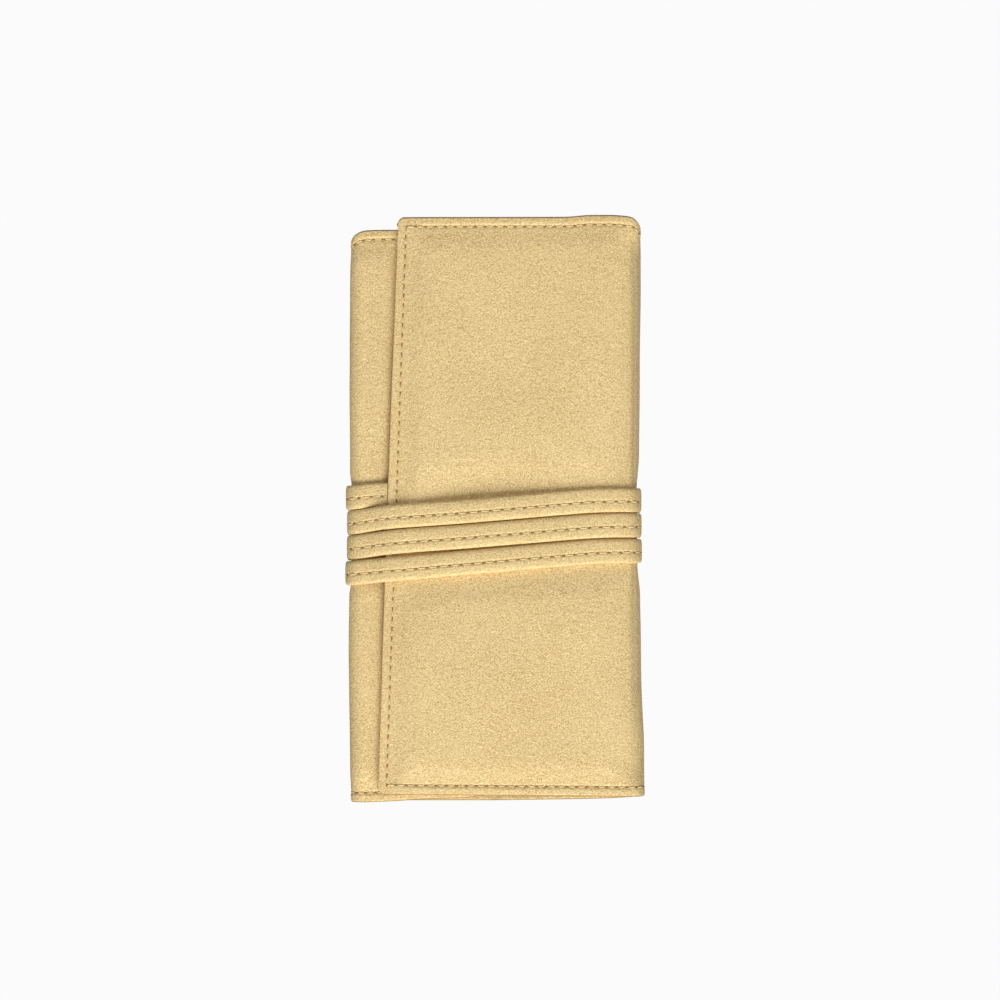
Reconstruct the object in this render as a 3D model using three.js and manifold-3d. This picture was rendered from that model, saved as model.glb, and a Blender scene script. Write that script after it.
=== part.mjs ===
// A soft tri-fold jewelry roll, closed and tied: an inner panel folds over from the left, a cover
// flap folds over it from the right, and one long strap is wound three times round the bundle.
// Millimetres. +Z is up from the table, +Y runs along the roll, +X points away from the free edge.
import * as THREE from "three";
import { mergeVertices } from "three/addons/utils/BufferGeometryUtils.js";
import Module from "manifold-3d";

const wasm = await Module();
wasm.setup();

// Driving dimensions of the closed roll.
const roll_width = 107.8; // skin to skin, from the left fold to the right fold
const roll_length = 216.4; // end to end, over both slipped panels
const cover_length = 213.2;
const inner_length = 211;
const inner_reach = 52.8; // left fold to the inner panel's tip
const fold_radius = 5;
const crease_gap = 0.3; // between two hides at a crease
const free_edge_inset_top = 17.9; // left fold to the cover's free edge, at the top end
const free_edge_inset_bottom = 10.4; // the same at the bottom end: the edge leans
const back_trim_left = 0.3; // how far the back stops short of the roll's bottom end
const back_trim_right = 1; // how far the back stops short of the cover's two ends
const corner_radius = 2;

// Driving dimensions of one panel's layers, and of the room between panels.
const hide = 1.4; // outer leather
const pad = 1.6; // foam wadding
const lining = 0.5;
const glue_line = 0.05;
const pocket_leather = 0.8;
const lay_gap = 0.1; // between a lining and the pocket that lies on it
const contents_height = 9;
const cover_gap = 0.4; // the cover's pocket above the inner panel
const edge_gap = 0.3; // the cover's free edge above the inner panel
const lining_inset = 1.2; // from the hide's cut edge
const pad_inset = 4;
const droop_start_inset = 34; // left fold to where the cover starts to dip
const droop_end_inset = 22; // left fold to where the dip ends

// Driving dimensions of the wrapping strap.
const strap_width = 8.9;
const strap_thickness = 1.5;
const strap_gap = 0.3; // off the hide
const strap_pitch = 9.4; // from one turn to the next
const strap_turns = 3;
const strap_back_slip = 0.9; // how far a run shifts along the roll behind it
const first_turn_y = 3.2; // the first front run where it leaves the right fold
const root_y = 4.9; // the sewn end, at the free edge
const tail_length = 46;
const floor_gap = 0.15; // the strap's back runs above the table
const channel_clearance = 0.6;
const cheek = 1.2; // wall at each side of the pinched channel
const weld = 0.05; // overlap where two parts of one piece join

// Sizes worked out from the driving dimensions.
const half_width = roll_width / 2;
const half_length = roll_length / 2;
const panel = hide + glue_line + pad + glue_line + lining;
const pocket = lay_gap + pocket_leather;
const inner_top = panel + contents_height + pocket + panel;
const cover_top = inner_top + cover_gap + pocket + panel;
const edge_top = inner_top + edge_gap + lining + glue_line + hide;
const cover_high_y = half_length;
const cover_low_y = half_length - cover_length;
const inner_low_y = -half_length;
const inner_high_y = inner_length - half_length;
const inner_tip_x = inner_reach - half_width;
const strap_offset = strap_gap + strap_thickness / 2;
const sink = floor_gap + strap_thickness + strap_gap; // how deep the strap pinches the back
const pinched_hide = panel - lining - glue_line - sink;
const front_slant = strap_pitch - strap_back_slip;
const left_turn_y = first_turn_y - front_slant;
const channel_high_y = root_y + strap_width / 2 + channel_clearance;
const tail_y = left_turn_y - (strap_turns - 1) * strap_pitch - strap_back_slip;
const channel_low_y = tail_y - strap_width / 2 - channel_clearance;
const arc_steps = 5;
const right_angle = Math.PI / 2;

// The cover's free edge leans: this is where it lies at a height y along the roll.
function freeEdgeX(y) {
  const share = (y - cover_low_y) / cover_length;
  return free_edge_inset_bottom + share * (free_edge_inset_top - free_edge_inset_bottom) - half_width;
}

// Materials.
const gold_hide = leather(0xe2c590, 0.42, 0.35);
const pocket_hide = leather(0xd9bd8b, 0.5, 0.25);
const suede = leather(0xcdbb9f, 0.95, 0);
const foam = leather(0xe8e4da, 1, 0);
const elastic = leather(0xbfa987, 0.9, 0);
const tape_cloth = leather(0xc3a878, 0.85, 0);
const brass = leather(0xd8b25c, 0.28, 0.9);

function leather(color, roughness, metalness) {
  return new THREE.MeshStandardMaterial({ color, roughness, metalness });
}

// A closed geometry as a solid that can be joined and cut.
function solid(geometry) {
  const bare = geometry.clone();
  bare.deleteAttribute("normal");
  bare.deleteAttribute("uv");
  const merged = mergeVertices(bare);
  const mesh = new wasm.Mesh({
    numProp: 3,
    vertProperties: new Float32Array(merged.attributes.position.array),
    triVerts: new Uint32Array(merged.index.array),
  });
  return new wasm.Manifold(mesh);
}

function geometryOf(made) {
  const mesh = made.getMesh();
  const geometry = new THREE.BufferGeometry();
  geometry.setAttribute("position", new THREE.BufferAttribute(mesh.vertProperties, 3));
  geometry.setIndex(new THREE.BufferAttribute(mesh.triVerts, 1));
  const flat = geometry.toNonIndexed();
  flat.computeVertexNormals();
  return flat;
}

function node(group, name, geometry, material) {
  const mesh = new THREE.Mesh(geometry, material);
  mesh.name = name;
  group.add(mesh);
  return mesh;
}

// An outline of (x, z) points carried along the roll from low_y to high_y.
function alongRoll(outline, low_y, high_y) {
  const shape = new THREE.Shape(outline);
  const geometry = new THREE.ExtrudeGeometry(shape, { depth: high_y - low_y, bevelEnabled: false });
  geometry.rotateX(right_angle);
  geometry.translate(0, high_y, 0);
  return geometry;
}

// An outline of (x, y) points raised from low_z to high_z.
function raised(outline, low_z, high_z) {
  const shape = outline instanceof THREE.Shape ? outline : new THREE.Shape(outline);
  const geometry = new THREE.ExtrudeGeometry(shape, {
    depth: high_z - low_z,
    bevelEnabled: false,
    curveSegments: arc_steps,
  });
  geometry.translate(0, 0, low_z);
  return geometry;
}

function block(low_x, high_x, low_y, high_y, low_z, high_z) {
  const geometry = new THREE.BoxGeometry(high_x - low_x, high_y - low_y, high_z - low_z);
  geometry.translate((low_x + high_x) / 2, (low_y + high_y) / 2, (low_z + high_z) / 2);
  return geometry;
}

// A plan rectangle with rounded corners.
function roundedPlate(low_x, high_x, low_y, high_y, radius, low_z, high_z) {
  const shape = new THREE.Shape();
  shape.moveTo(low_x + radius, low_y);
  shape.lineTo(high_x - radius, low_y);
  shape.absarc(high_x - radius, low_y + radius, radius, -right_angle, 0, false);
  shape.absarc(high_x - radius, high_y - radius, radius, 0, right_angle, false);
  shape.absarc(low_x + radius, high_y - radius, radius, right_angle, 2 * right_angle, false);
  shape.absarc(low_x + radius, low_y + radius, radius, 2 * right_angle, 3 * right_angle, false);
  return raised(shape, low_z, high_z);
}

function arc(center_x, center_z, radius, from, to) {
  const points = [];
  for (let i = 0; i <= arc_steps; i++) {
    const angle = from + ((to - from) * i) / arc_steps;
    points.push(new THREE.Vector2(center_x + radius * Math.cos(angle), center_z + radius * Math.sin(angle)));
  }
  return points;
}

// A path moved to its left by a distance, with mitred corners.
function offsetPath(path, distance) {
  return path.map((point, i) => {
    const before = path[Math.max(i - 1, 0)];
    const after = path[Math.min(i + 1, path.length - 1)];
    const arriving = new THREE.Vector2().subVectors(point, before).normalize();
    const leaving = new THREE.Vector2().subVectors(after, point).normalize();
    if (i === 0) arriving.copy(leaving);
    if (i === path.length - 1) leaving.copy(arriving);
    const left = new THREE.Vector2(-arriving.y - leaving.y, arriving.x + leaving.x);
    const stretch = (2 * distance) / left.lengthSq();
    return point.clone().addScaledVector(left, stretch);
  });
}

// The outline of a sheet whose outer face follows a path, with its inside on the path's left.
function sheet(path, thickness) {
  return [...path, ...offsetPath(path, thickness).reverse()];
}

// The dip of the cover towards its free edge: from high_z at its start to low_z at its end.
function dip(high_z, low_z) {
  const points = [];
  for (let i = 0; i <= arc_steps; i++) {
    const share = i / arc_steps;
    const x = droop_start_inset + share * (droop_end_inset - droop_start_inset) - half_width;
    const z = low_z + ((high_z - low_z) * (1 + Math.cos(share * Math.PI))) / 2;
    points.push(new THREE.Vector2(x, z));
  }
  return points;
}

// Outer faces, traced with the inside of the roll on the left, each a little past its creases.
// Where the strap pinches the lower folds, depth tells how far the face sinks in.
function backFace(depth) {
  const radius = fold_radius - depth;
  return [
    ...arc(radius - half_width, fold_radius, radius, Math.PI, 3 * right_angle),
    ...arc(half_width - radius, fold_radius, radius, 3 * right_angle, 4 * right_angle),
  ];
}

function rightFace(depth) {
  const radius = fold_radius - depth;
  return [
    ...arc(half_width - radius, fold_radius, radius, -right_angle, 0),
    ...arc(half_width - fold_radius, cover_top - fold_radius, fold_radius, 0, right_angle),
  ];
}

function leftFace(depth) {
  const radius = fold_radius - depth;
  return [
    ...arc(fold_radius - half_width, inner_top - fold_radius, fold_radius, right_angle, Math.PI),
    ...arc(radius - half_width, fold_radius, radius, Math.PI, 3 * right_angle),
  ];
}

function coverFace() {
  return [
    ...arc(half_width - fold_radius, cover_top - fold_radius, fold_radius, 0, right_angle),
    ...dip(cover_top, edge_top),
    new THREE.Vector2(-half_width, edge_top),
  ];
}

function innerFace() {
  return [
    new THREE.Vector2(inner_tip_x, inner_top),
    ...arc(fold_radius - half_width, inner_top - fold_radius, fold_radius, right_angle, Math.PI),
  ];
}

// What lies between creases: each crease is a plane at 45 degrees through a fold's round, and the
// hides on its two sides stop half a crease gap short of it.
const crease_inset = (crease_gap / 2) * Math.SQRT2;
const crease_reach = 2 * fold_radius;

function creaseCut(outline) {
  return solid(alongRoll(outline, -roll_length, roll_length));
}

function spineCut(side, top) {
  const near_x = half_width - fold_radius + crease_inset;
  const outline = [
    new THREE.Vector2(near_x, fold_radius),
    new THREE.Vector2(near_x + crease_reach, fold_radius - crease_reach),
    new THREE.Vector2(near_x + crease_reach, top - fold_radius + crease_reach),
    new THREE.Vector2(near_x, top - fold_radius),
  ];
  if (side > 0) return creaseCut(outline);
  return creaseCut(outline.map((point) => new THREE.Vector2(-point.x, point.y)).reverse());
}

function backCut() {
  const near_x = half_width - fold_radius - crease_inset;
  return creaseCut([
    new THREE.Vector2(-near_x, fold_radius),
    new THREE.Vector2(-near_x - crease_reach, fold_radius - crease_reach),
    new THREE.Vector2(near_x + crease_reach, fold_radius - crease_reach),
    new THREE.Vector2(near_x, fold_radius),
  ]);
}

// The region above a panel's own crease; the far side stays open.
function panelCut(side, top) {
  const near_x = half_width - fold_radius - crease_inset;
  const outline = [
    new THREE.Vector2(near_x, top - fold_radius),
    new THREE.Vector2(near_x + crease_reach, top - fold_radius + crease_reach),
    new THREE.Vector2(-roll_width, top - fold_radius + crease_reach),
    new THREE.Vector2(-roll_width, top - 2 * fold_radius),
    new THREE.Vector2(near_x, top - 2 * fold_radius),
  ];
  if (side > 0) return creaseCut(outline);
  return creaseCut(outline.map((point) => new THREE.Vector2(-point.x, point.y)).reverse());
}

// A hide that the strap pinches: plain above and below the channel, sunk inside it, with a
// cheek on each side that joins the two.
function pinchedHide(face, low_y, high_y) {
  const plain = sheet(face(0), hide);
  const sunk_inside = offsetPath(face(sink), pinched_hide).reverse();
  const sunk = [...face(sink), ...sunk_inside];
  const cheeks = [...face(0), ...sunk_inside];
  const low_cheek_y = channel_low_y - cheek;
  const high_cheek_y = channel_high_y + cheek;
  return solid(alongRoll(plain, low_y, low_cheek_y + weld))
    .add(solid(alongRoll(cheeks, low_cheek_y, channel_low_y + weld)))
    .add(solid(alongRoll(sunk, channel_low_y, channel_high_y)))
    .add(solid(alongRoll(cheeks, channel_high_y - weld, high_cheek_y)))
    .add(solid(alongRoll(plain, high_cheek_y - weld, high_y)));
}

// Back: the middle panel, which the closed roll lies on. Its ends slope a little, because the two
// side panels were folded over askew.
const back = new THREE.Group();
const back_low_left = inner_low_y + back_trim_left;
const back_low_right = cover_low_y - back_trim_right;
const back_high_left = inner_high_y;
const back_high_right = cover_high_y - back_trim_right;

function backPlan(inset, low_z, high_z) {
  return solid(
    raised(
      [
        new THREE.Vector2(inset - half_width, back_low_left + inset),
        new THREE.Vector2(half_width - inset, back_low_right + inset),
        new THREE.Vector2(half_width - inset, back_high_right - inset),
        new THREE.Vector2(inset - half_width, back_high_left - inset),
      ],
      low_z,
      high_z,
    ),
  );
}

const shell_back = pinchedHide(backFace, inner_low_y, cover_high_y)
  .intersect(backCut())
  .intersect(backPlan(0, -hide, fold_radius));
node(back, "shell_back", geometryOf(shell_back), gold_hide);

const pad_low_z = hide + glue_line;
const pad_high_z = pad_low_z + pad;
const lining_low_z = pad_high_z + glue_line;
const lining_reach = half_width - panel - crease_gap;
const pad_reach = half_width - fold_radius;
const pad_slab = backPlan(pad_inset, pad_low_z, pad_high_z);
const pad_low_y = channel_low_y - cheek - crease_gap;
const pad_high_y = channel_high_y + cheek + crease_gap;
const pad_low_cut = block(-pad_reach, pad_reach, -half_length, pad_low_y, 0, cover_top);
const pad_high_cut = block(-pad_reach, pad_reach, pad_high_y, half_length, 0, cover_top);
node(back, "pad_back_lower", geometryOf(pad_slab.intersect(solid(pad_low_cut))), foam);
node(back, "pad_back_upper", geometryOf(pad_slab.intersect(solid(pad_high_cut))), foam);

const lining_cut = block(-lining_reach, lining_reach, -half_length, half_length, 0, cover_top);
const lining_slab = backPlan(lining_inset, lining_low_z, panel);
node(back, "lining_back", geometryOf(lining_slab.intersect(solid(lining_cut))), suede);

// Right spine: the strip of the roll's thickness between the back and the cover.
const right_spine = new THREE.Group();
const spine_inset = 0.4; // its cut ends stand in from the cover's
const right_low_y = cover_low_y - spine_inset;
const right_high_y = cover_high_y - spine_inset;
const shell_right_spine = pinchedHide(rightFace, right_low_y, right_high_y).intersect(spineCut(1, cover_top));
node(right_spine, "shell_right_spine", geometryOf(shell_right_spine), gold_hide);

function spineLayer(group, name, side, outer, inner, low_z, high_z, low_y, high_y, material) {
  const xs = [side * outer, side * inner];
  node(group, name, block(Math.min(...xs), Math.max(...xs), low_y, high_y, low_z, high_z), material);
}

const spine_pad_outer = half_width - hide - glue_line;
const spine_pad_inner = spine_pad_outer - pad;
const spine_lining_outer = spine_pad_inner - glue_line;
const spine_lining_inner = spine_lining_outer - lining;
const spine_lining_low_z = panel + crease_gap;

function spineLayers(group, word, side, top, low_y, high_y) {
  spineLayer(
    group,
    "pad_" + word,
    side,
    spine_pad_outer,
    spine_pad_inner,
    fold_radius,
    top - fold_radius,
    low_y + pad_inset,
    high_y - pad_inset,
    foam,
  );
  spineLayer(
    group,
    "lining_" + word,
    side,
    spine_lining_outer,
    spine_lining_inner,
    spine_lining_low_z,
    top - spine_lining_low_z,
    low_y + lining_inset,
    high_y - lining_inset,
    suede,
  );
}

spineLayers(right_spine, "right_spine", 1, cover_top, right_low_y, right_high_y);

// Left spine: the lower strip between the back and the inner panel.
const left_spine = new THREE.Group();
const left_low_y = inner_low_y + spine_inset;
const left_high_y = inner_high_y - spine_inset;
const shell_left_spine = pinchedHide(leftFace, left_low_y, left_high_y).intersect(spineCut(-1, inner_top));
node(left_spine, "shell_left_spine", geometryOf(shell_left_spine), gold_hide);
spineLayers(left_spine, "left_spine", -1, inner_top, left_low_y, left_high_y);

// Cover flap: folds over from the right and ends in the leaning free edge.
const cover_flap = new THREE.Group();

function coverPlan(inset) {
  const low_y = cover_low_y + inset;
  const high_y = cover_high_y - inset;
  const low_x = freeEdgeX(low_y) + inset;
  const high_x = freeEdgeX(high_y) + inset;
  const shape = new THREE.Shape();
  shape.moveTo(half_width, low_y);
  shape.lineTo(half_width, high_y);
  shape.lineTo(high_x + corner_radius, high_y);
  shape.quadraticCurveTo(high_x, high_y, high_x, high_y - corner_radius);
  shape.lineTo(low_x, low_y + corner_radius);
  shape.quadraticCurveTo(low_x, low_y, low_x + corner_radius, low_y);
  return solid(raised(shape, 0, cover_top + fold_radius));
}

const cover_hide = solid(alongRoll(sheet(coverFace(), hide), cover_low_y, cover_high_y));
const shell_cover_flap = cover_hide.intersect(coverPlan(0)).intersect(panelCut(1, cover_top));
node(cover_flap, "shell_cover_flap", geometryOf(shell_cover_flap), gold_hide);

const cover_pad_high_z = cover_top - hide - glue_line;
const cover_pad_low_z = cover_pad_high_z - pad;
const cover_pad_low_x = droop_start_inset - half_width;
node(
  cover_flap,
  "pad_cover_flap",
  block(
    cover_pad_low_x,
    pad_reach,
    cover_low_y + pad_inset,
    cover_high_y - pad_inset,
    cover_pad_low_z,
    cover_pad_high_z,
  ),
  foam,
);

const cover_lining_top = cover_pad_low_z - glue_line;
const cover_lining_path = [
  new THREE.Vector2(lining_reach, cover_lining_top),
  ...dip(cover_lining_top, edge_top - hide - glue_line),
  new THREE.Vector2(-half_width, edge_top - hide - glue_line),
];
const cover_lining = solid(alongRoll(sheet(cover_lining_path, lining), cover_low_y, cover_high_y));
node(cover_flap, "lining_cover_flap", geometryOf(cover_lining.intersect(coverPlan(lining_inset))), suede);
const cover_lining_z = cover_lining_top - lining;

// Inner panel: folds over from the left and lies under the cover.
const inner_panel = new THREE.Group();
const inner_plan = solid(
  roundedPlate(-roll_width, inner_tip_x, inner_low_y, inner_high_y, corner_radius, 0, cover_top),
);
const inner_hide = solid(alongRoll(sheet(innerFace(), hide), inner_low_y, inner_high_y));
const shell_inner_panel = inner_hide.intersect(inner_plan).intersect(panelCut(-1, inner_top));
node(inner_panel, "shell_inner_panel", geometryOf(shell_inner_panel), gold_hide);
const inner_pad_high_z = inner_top - hide - glue_line;
const inner_pad_low_z = inner_pad_high_z - pad;
const inner_lining_top = inner_pad_low_z - glue_line;
const inner_lining_z = inner_lining_top - lining;
node(
  inner_panel,
  "pad_inner_panel",
  block(
    -pad_reach,
    inner_tip_x - pad_inset,
    inner_low_y + pad_inset,
    inner_high_y - pad_inset,
    inner_pad_low_z,
    inner_pad_high_z,
  ),
  foam,
);
node(
  inner_panel,
  "lining_inner_panel",
  roundedPlate(
    -lining_reach,
    inner_tip_x - lining_inset,
    inner_low_y + lining_inset,
    inner_high_y - lining_inset,
    corner_radius,
    inner_lining_z,
    inner_lining_top,
  ),
  suede,
);

// Zip pockets. Each pocket is two flat leathers sewn on a lining, with a zip between them that
// faces down while the roll is closed.
const zip_end_inset = 19; // from the panel's ends to the zip's stops
const zip_half_width = 6;
const tape_thickness = 0.5;
const tape_inner = 2.2; // half the gap between the two tapes
const tooth_spine_outer = 1.9;
const tooth_spine_inner = 1.2;
const tooth_tip = 0.9; // how far a tooth reaches past the zip's middle
const tooth_length = 1;
const tooth_gap = 0.3;
const tooth_height = 1.2;
const stop_length = 1.6;
const seam_gap = 0.3;
const pocket_end_inset = 9;
const pocket_corner = 3;
const pocket_corner_share = 0.33; // of a narrow leather's width, at most

// One row of teeth: a comb whose side is 1 or -1.
function toothRow(middle_x, low_y, high_y, side, low_z, high_z) {
  const pitch = 2 * (tooth_length + tooth_gap);
  const start_y = side > 0 ? low_y : low_y + pitch / 2;
  const count = Math.floor((high_y - start_y - tooth_length) / pitch) + 1;
  const points = [];
  for (let i = 0; i < count; i++) {
    const y = start_y + i * pitch;
    points.push(new THREE.Vector2(middle_x + side * tooth_spine_inner, y));
    points.push(new THREE.Vector2(middle_x - side * tooth_tip, y));
    points.push(new THREE.Vector2(middle_x - side * tooth_tip, y + tooth_length));
    points.push(new THREE.Vector2(middle_x + side * tooth_spine_inner, y + tooth_length));
  }
  points.push(new THREE.Vector2(middle_x + side * tooth_spine_inner, high_y));
  points.push(new THREE.Vector2(middle_x + side * tooth_spine_outer, high_y));
  points.push(new THREE.Vector2(middle_x + side * tooth_spine_outer, low_y));
  if (start_y > low_y) points.push(new THREE.Vector2(middle_x + side * tooth_spine_inner, low_y));
  return raised(points, low_z, high_z);
}

// The zip's slider: a tapered plate over the teeth, with a bail that holds the pull.
const slider_length = 9.5;
const slider_nose = 4.4;
const slider_half = 3.4;
const slider_plate = 0.8;
const slider_gap = 0.3;
const bail_reach = 2.8; // half its length along the zip
const bail_wire = 0.9;
const bail_half = 0.5;
const bail_room = 1.6; // between the plate and the bail

function sliderSolid(middle_x, middle_y, top_z) {
  const half = slider_length / 2;
  const plate_low_z = top_z - slider_plate;
  const plan = [
    new THREE.Vector2(middle_x - slider_half, middle_y - half),
    new THREE.Vector2(middle_x + slider_half, middle_y - half),
    new THREE.Vector2(middle_x + slider_half, middle_y),
    new THREE.Vector2(middle_x + slider_nose / 2, middle_y + half),
    new THREE.Vector2(middle_x - slider_nose / 2, middle_y + half),
    new THREE.Vector2(middle_x - slider_half, middle_y),
  ];
  const bail_low_z = plate_low_z - bail_room - bail_wire;
  const low_y = middle_y - bail_reach;
  const high_y = middle_y + bail_reach;
  const left = middle_x - bail_half;
  const right = middle_x + bail_half;
  return solid(raised(plan, plate_low_z, top_z))
    .add(solid(block(left, right, low_y, low_y + bail_wire, bail_low_z, plate_low_z + weld)))
    .add(solid(block(left, right, high_y - bail_wire, high_y, bail_low_z, plate_low_z + weld)))
    .add(solid(block(left, right, low_y, high_y, bail_low_z, bail_low_z + bail_wire)));
}

// The pull: a flat tongue with an eye round the bail's lower post.
const pull_length = 20;
const pull_half = 2.9;
const pull_thickness = 0.9;
const eye_half = 1.2;
const eye_length = 4;
const pull_end_radius = 1.4;

function pullSolid(middle_x, middle_y, axis_z) {
  const low_z = axis_z - pull_thickness / 2;
  const high_z = axis_z + pull_thickness / 2;
  const high_y = middle_y + pull_thickness / 2;
  const eye_high_y = middle_y - pull_thickness / 2;
  const tongue = roundedPlate(
    middle_x - pull_half,
    middle_x + pull_half,
    high_y - pull_length,
    high_y,
    pull_end_radius,
    low_z,
    high_z,
  );
  const eye = block(
    middle_x - eye_half,
    middle_x + eye_half,
    eye_high_y - eye_length,
    eye_high_y,
    low_z - weld,
    high_z + weld,
  );
  return solid(tongue).subtract(solid(eye));
}

function zipPocket(group, word, lining_z, middle_x, low_x, high_x, low_y, high_y) {
  const leather_high_z = lining_z - lay_gap;
  const leather_low_z = leather_high_z - pocket_leather;
  const pocket_low_y = low_y + pocket_end_inset;
  const pocket_high_y = high_y - pocket_end_inset;
  const zip_low_y = low_y + zip_end_inset;
  const zip_high_y = high_y - zip_end_inset;
  const zip_left = middle_x - zip_half_width;
  const zip_right = middle_x + zip_half_width;
  const leathers = [
    ["_pocket_left", low_x, zip_left - seam_gap],
    ["_pocket_right", zip_right + seam_gap, high_x],
  ];
  for (const [side_word, from_x, to_x] of leathers) {
    const radius = Math.min(pocket_corner, (to_x - from_x) * pocket_corner_share);
    const plate = roundedPlate(
      from_x,
      to_x,
      pocket_low_y,
      pocket_high_y,
      radius,
      leather_low_z,
      leather_high_z,
    );
    node(group, word + side_word, plate, pocket_hide);
  }
  const tape_low_z = leather_high_z - tape_thickness;
  const teeth_middle_z = leather_high_z - tooth_height / 2;
  const teeth_low_z = teeth_middle_z - tooth_height / 2;
  for (const [side_word, side] of [
    ["_left", -1],
    ["_right", 1],
  ]) {
    const xs = [middle_x + side * tape_inner, middle_x + side * zip_half_width];
    const tape = block(
      Math.min(...xs),
      Math.max(...xs),
      pocket_low_y,
      pocket_high_y,
      tape_low_z,
      leather_high_z,
    );
    node(group, word + "_zip_tape" + side_word, tape, tape_cloth);
    const row = toothRow(middle_x, zip_low_y, zip_high_y, side, teeth_low_z, leather_high_z);
    node(group, word + "_zip_teeth" + side_word, row, brass);
  }
  for (const [end_word, from_y, to_y] of [
    ["_bottom", zip_low_y - seam_gap - stop_length, zip_low_y - seam_gap],
    ["_top", zip_high_y + seam_gap, zip_high_y + seam_gap + stop_length],
  ]) {
    const stop = block(
      middle_x - tooth_spine_outer,
      middle_x + tooth_spine_outer,
      from_y,
      to_y,
      teeth_low_z,
      leather_high_z,
    );
    node(group, word + "_zip_stop" + end_word, stop, brass);
  }
  const slider_y = zip_high_y - slider_length / 2 - slider_gap;
  const slider_top_z = teeth_low_z - slider_gap;
  const slider = new THREE.Group();
  const pull = new THREE.Group();
  const pull_axis_z = slider_top_z - slider_plate - bail_room / 2;
  node(slider, word + "_zip_slider", geometryOf(sliderSolid(middle_x, slider_y, slider_top_z)), brass);
  node(pull, word + "_zip_pull", geometryOf(pullSolid(middle_x, slider_y, pull_axis_z)), brass);
  slider.add(pull);
  group.add(slider);
}

const cover_zip_inset = 21; // right fold to the cover's zip
const cover_pocket_inset = 7;
const inner_zip_inset = 11; // inner panel's tip to its zip
const inner_tip_band = 1.6;
zipPocket(
  cover_flap,
  "cover",
  cover_lining_z,
  half_width - cover_zip_inset,
  cover_pad_low_x,
  half_width - cover_pocket_inset,
  cover_low_y,
  cover_high_y,
);
zipPocket(
  inner_panel,
  "inner",
  inner_lining_z,
  inner_tip_x - inner_zip_inset,
  cover_pocket_inset - half_width,
  inner_tip_x - inner_tip_band,
  inner_low_y,
  inner_high_y,
);

// Press studs: a stud on the back's lining, and a socket and a cap on each side of a tab.
const snap_radius = 3.6;
const stud_base = 0.5;
const stud_neck = 1.3;
const stud_height = 1.6;
const socket_bore = 1.8;
const socket_height = 0.9;
const cap_radius = 4.2;
const cap_height = 1.2;
const snap_gap = 0.3;
const tab_thickness = 1.2;
const round_steps = 20;
const stud_z = panel + glue_line;
const socket_z = stud_z + stud_base + snap_gap;
const tab_z = socket_z + socket_height + glue_line;
const cap_z = tab_z + tab_thickness + glue_line;

function turned(profile) {
  const points = profile.map(([radius, height]) => new THREE.Vector2(radius, height));
  const geometry = new THREE.LatheGeometry(points, round_steps);
  geometry.rotateX(right_angle);
  return geometryOf(solid(geometry));
}

function stud(group, name, x, y) {
  const profile = [
    [0, 0],
    [snap_radius, 0],
    [snap_radius, stud_base],
    [stud_neck, stud_base],
    [stud_neck, stud_height],
    [0, stud_height],
  ];
  node(group, name, turned(profile), brass).position.set(x, y, stud_z);
}

function socketAndCap(group, word, x, y) {
  const socket_profile = [
    [socket_bore, 0],
    [snap_radius, 0],
    [snap_radius, socket_height],
    [socket_bore, socket_height],
    [socket_bore, 0],
  ];
  const dome_start_share = 0.35;
  const dome_turn_share = 0.86;
  const cap_profile = [
    [0, 0],
    [cap_radius, 0],
    [cap_radius, cap_height * dome_start_share],
    [cap_radius * dome_turn_share, cap_height * dome_turn_share],
    [cap_radius / 2, cap_height],
    [0, cap_height],
  ];
  node(group, word + "_snap_socket", turned(socket_profile), brass).position.set(x, y, socket_z);
  node(group, word + "_snap_cap", turned(cap_profile), brass).position.set(x, y, cap_z);
}

// Necklace tabs: three narrow tabs hang from a sewn strip near the top of the back.
const tab_width = 9;
const tab_length = 32;
const tab_spacing = 10.6;
const tab_count = 3;
const first_tab_inset = 11; // left fold to the first tab's middle
const mount_strip_top_inset = 14; // inner panel's top end to the strip
const mount_strip_height = 8;
const mount_strip_margin = 2;
const snap_end_inset = 5; // a tab's tip to its snap
const strip_high_y = inner_high_y - mount_strip_top_inset;
const strip_low_y = strip_high_y - mount_strip_height;
const first_tab_x = first_tab_inset - half_width;
const last_tab_x = first_tab_x + (tab_count - 1) * tab_spacing;
node(
  back,
  "necklace_mount_strip",
  roundedPlate(
    first_tab_x - tab_width / 2 - mount_strip_margin,
    last_tab_x + tab_width / 2 + mount_strip_margin,
    strip_low_y,
    strip_high_y,
    mount_strip_margin,
    stud_z,
    tab_z + tab_thickness,
  ),
  pocket_hide,
);
for (let i = 0; i < tab_count; i++) {
  const word = "necklace_tab_" + (i + 1);
  const x = first_tab_x + i * tab_spacing;
  const high_y = strip_low_y - seam_gap;
  const low_y = high_y - tab_length;
  const tab = new THREE.Group();
  const plate = roundedPlate(
    x - tab_width / 2,
    x + tab_width / 2,
    low_y,
    high_y,
    mount_strip_margin,
    tab_z,
    tab_z + tab_thickness,
  );
  node(tab, word, plate, pocket_hide);
  socketAndCap(tab, word, x, low_y + snap_end_inset);
  stud(back, word + "_stud", x, low_y + snap_end_inset);
  back.add(tab);
}

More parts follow.
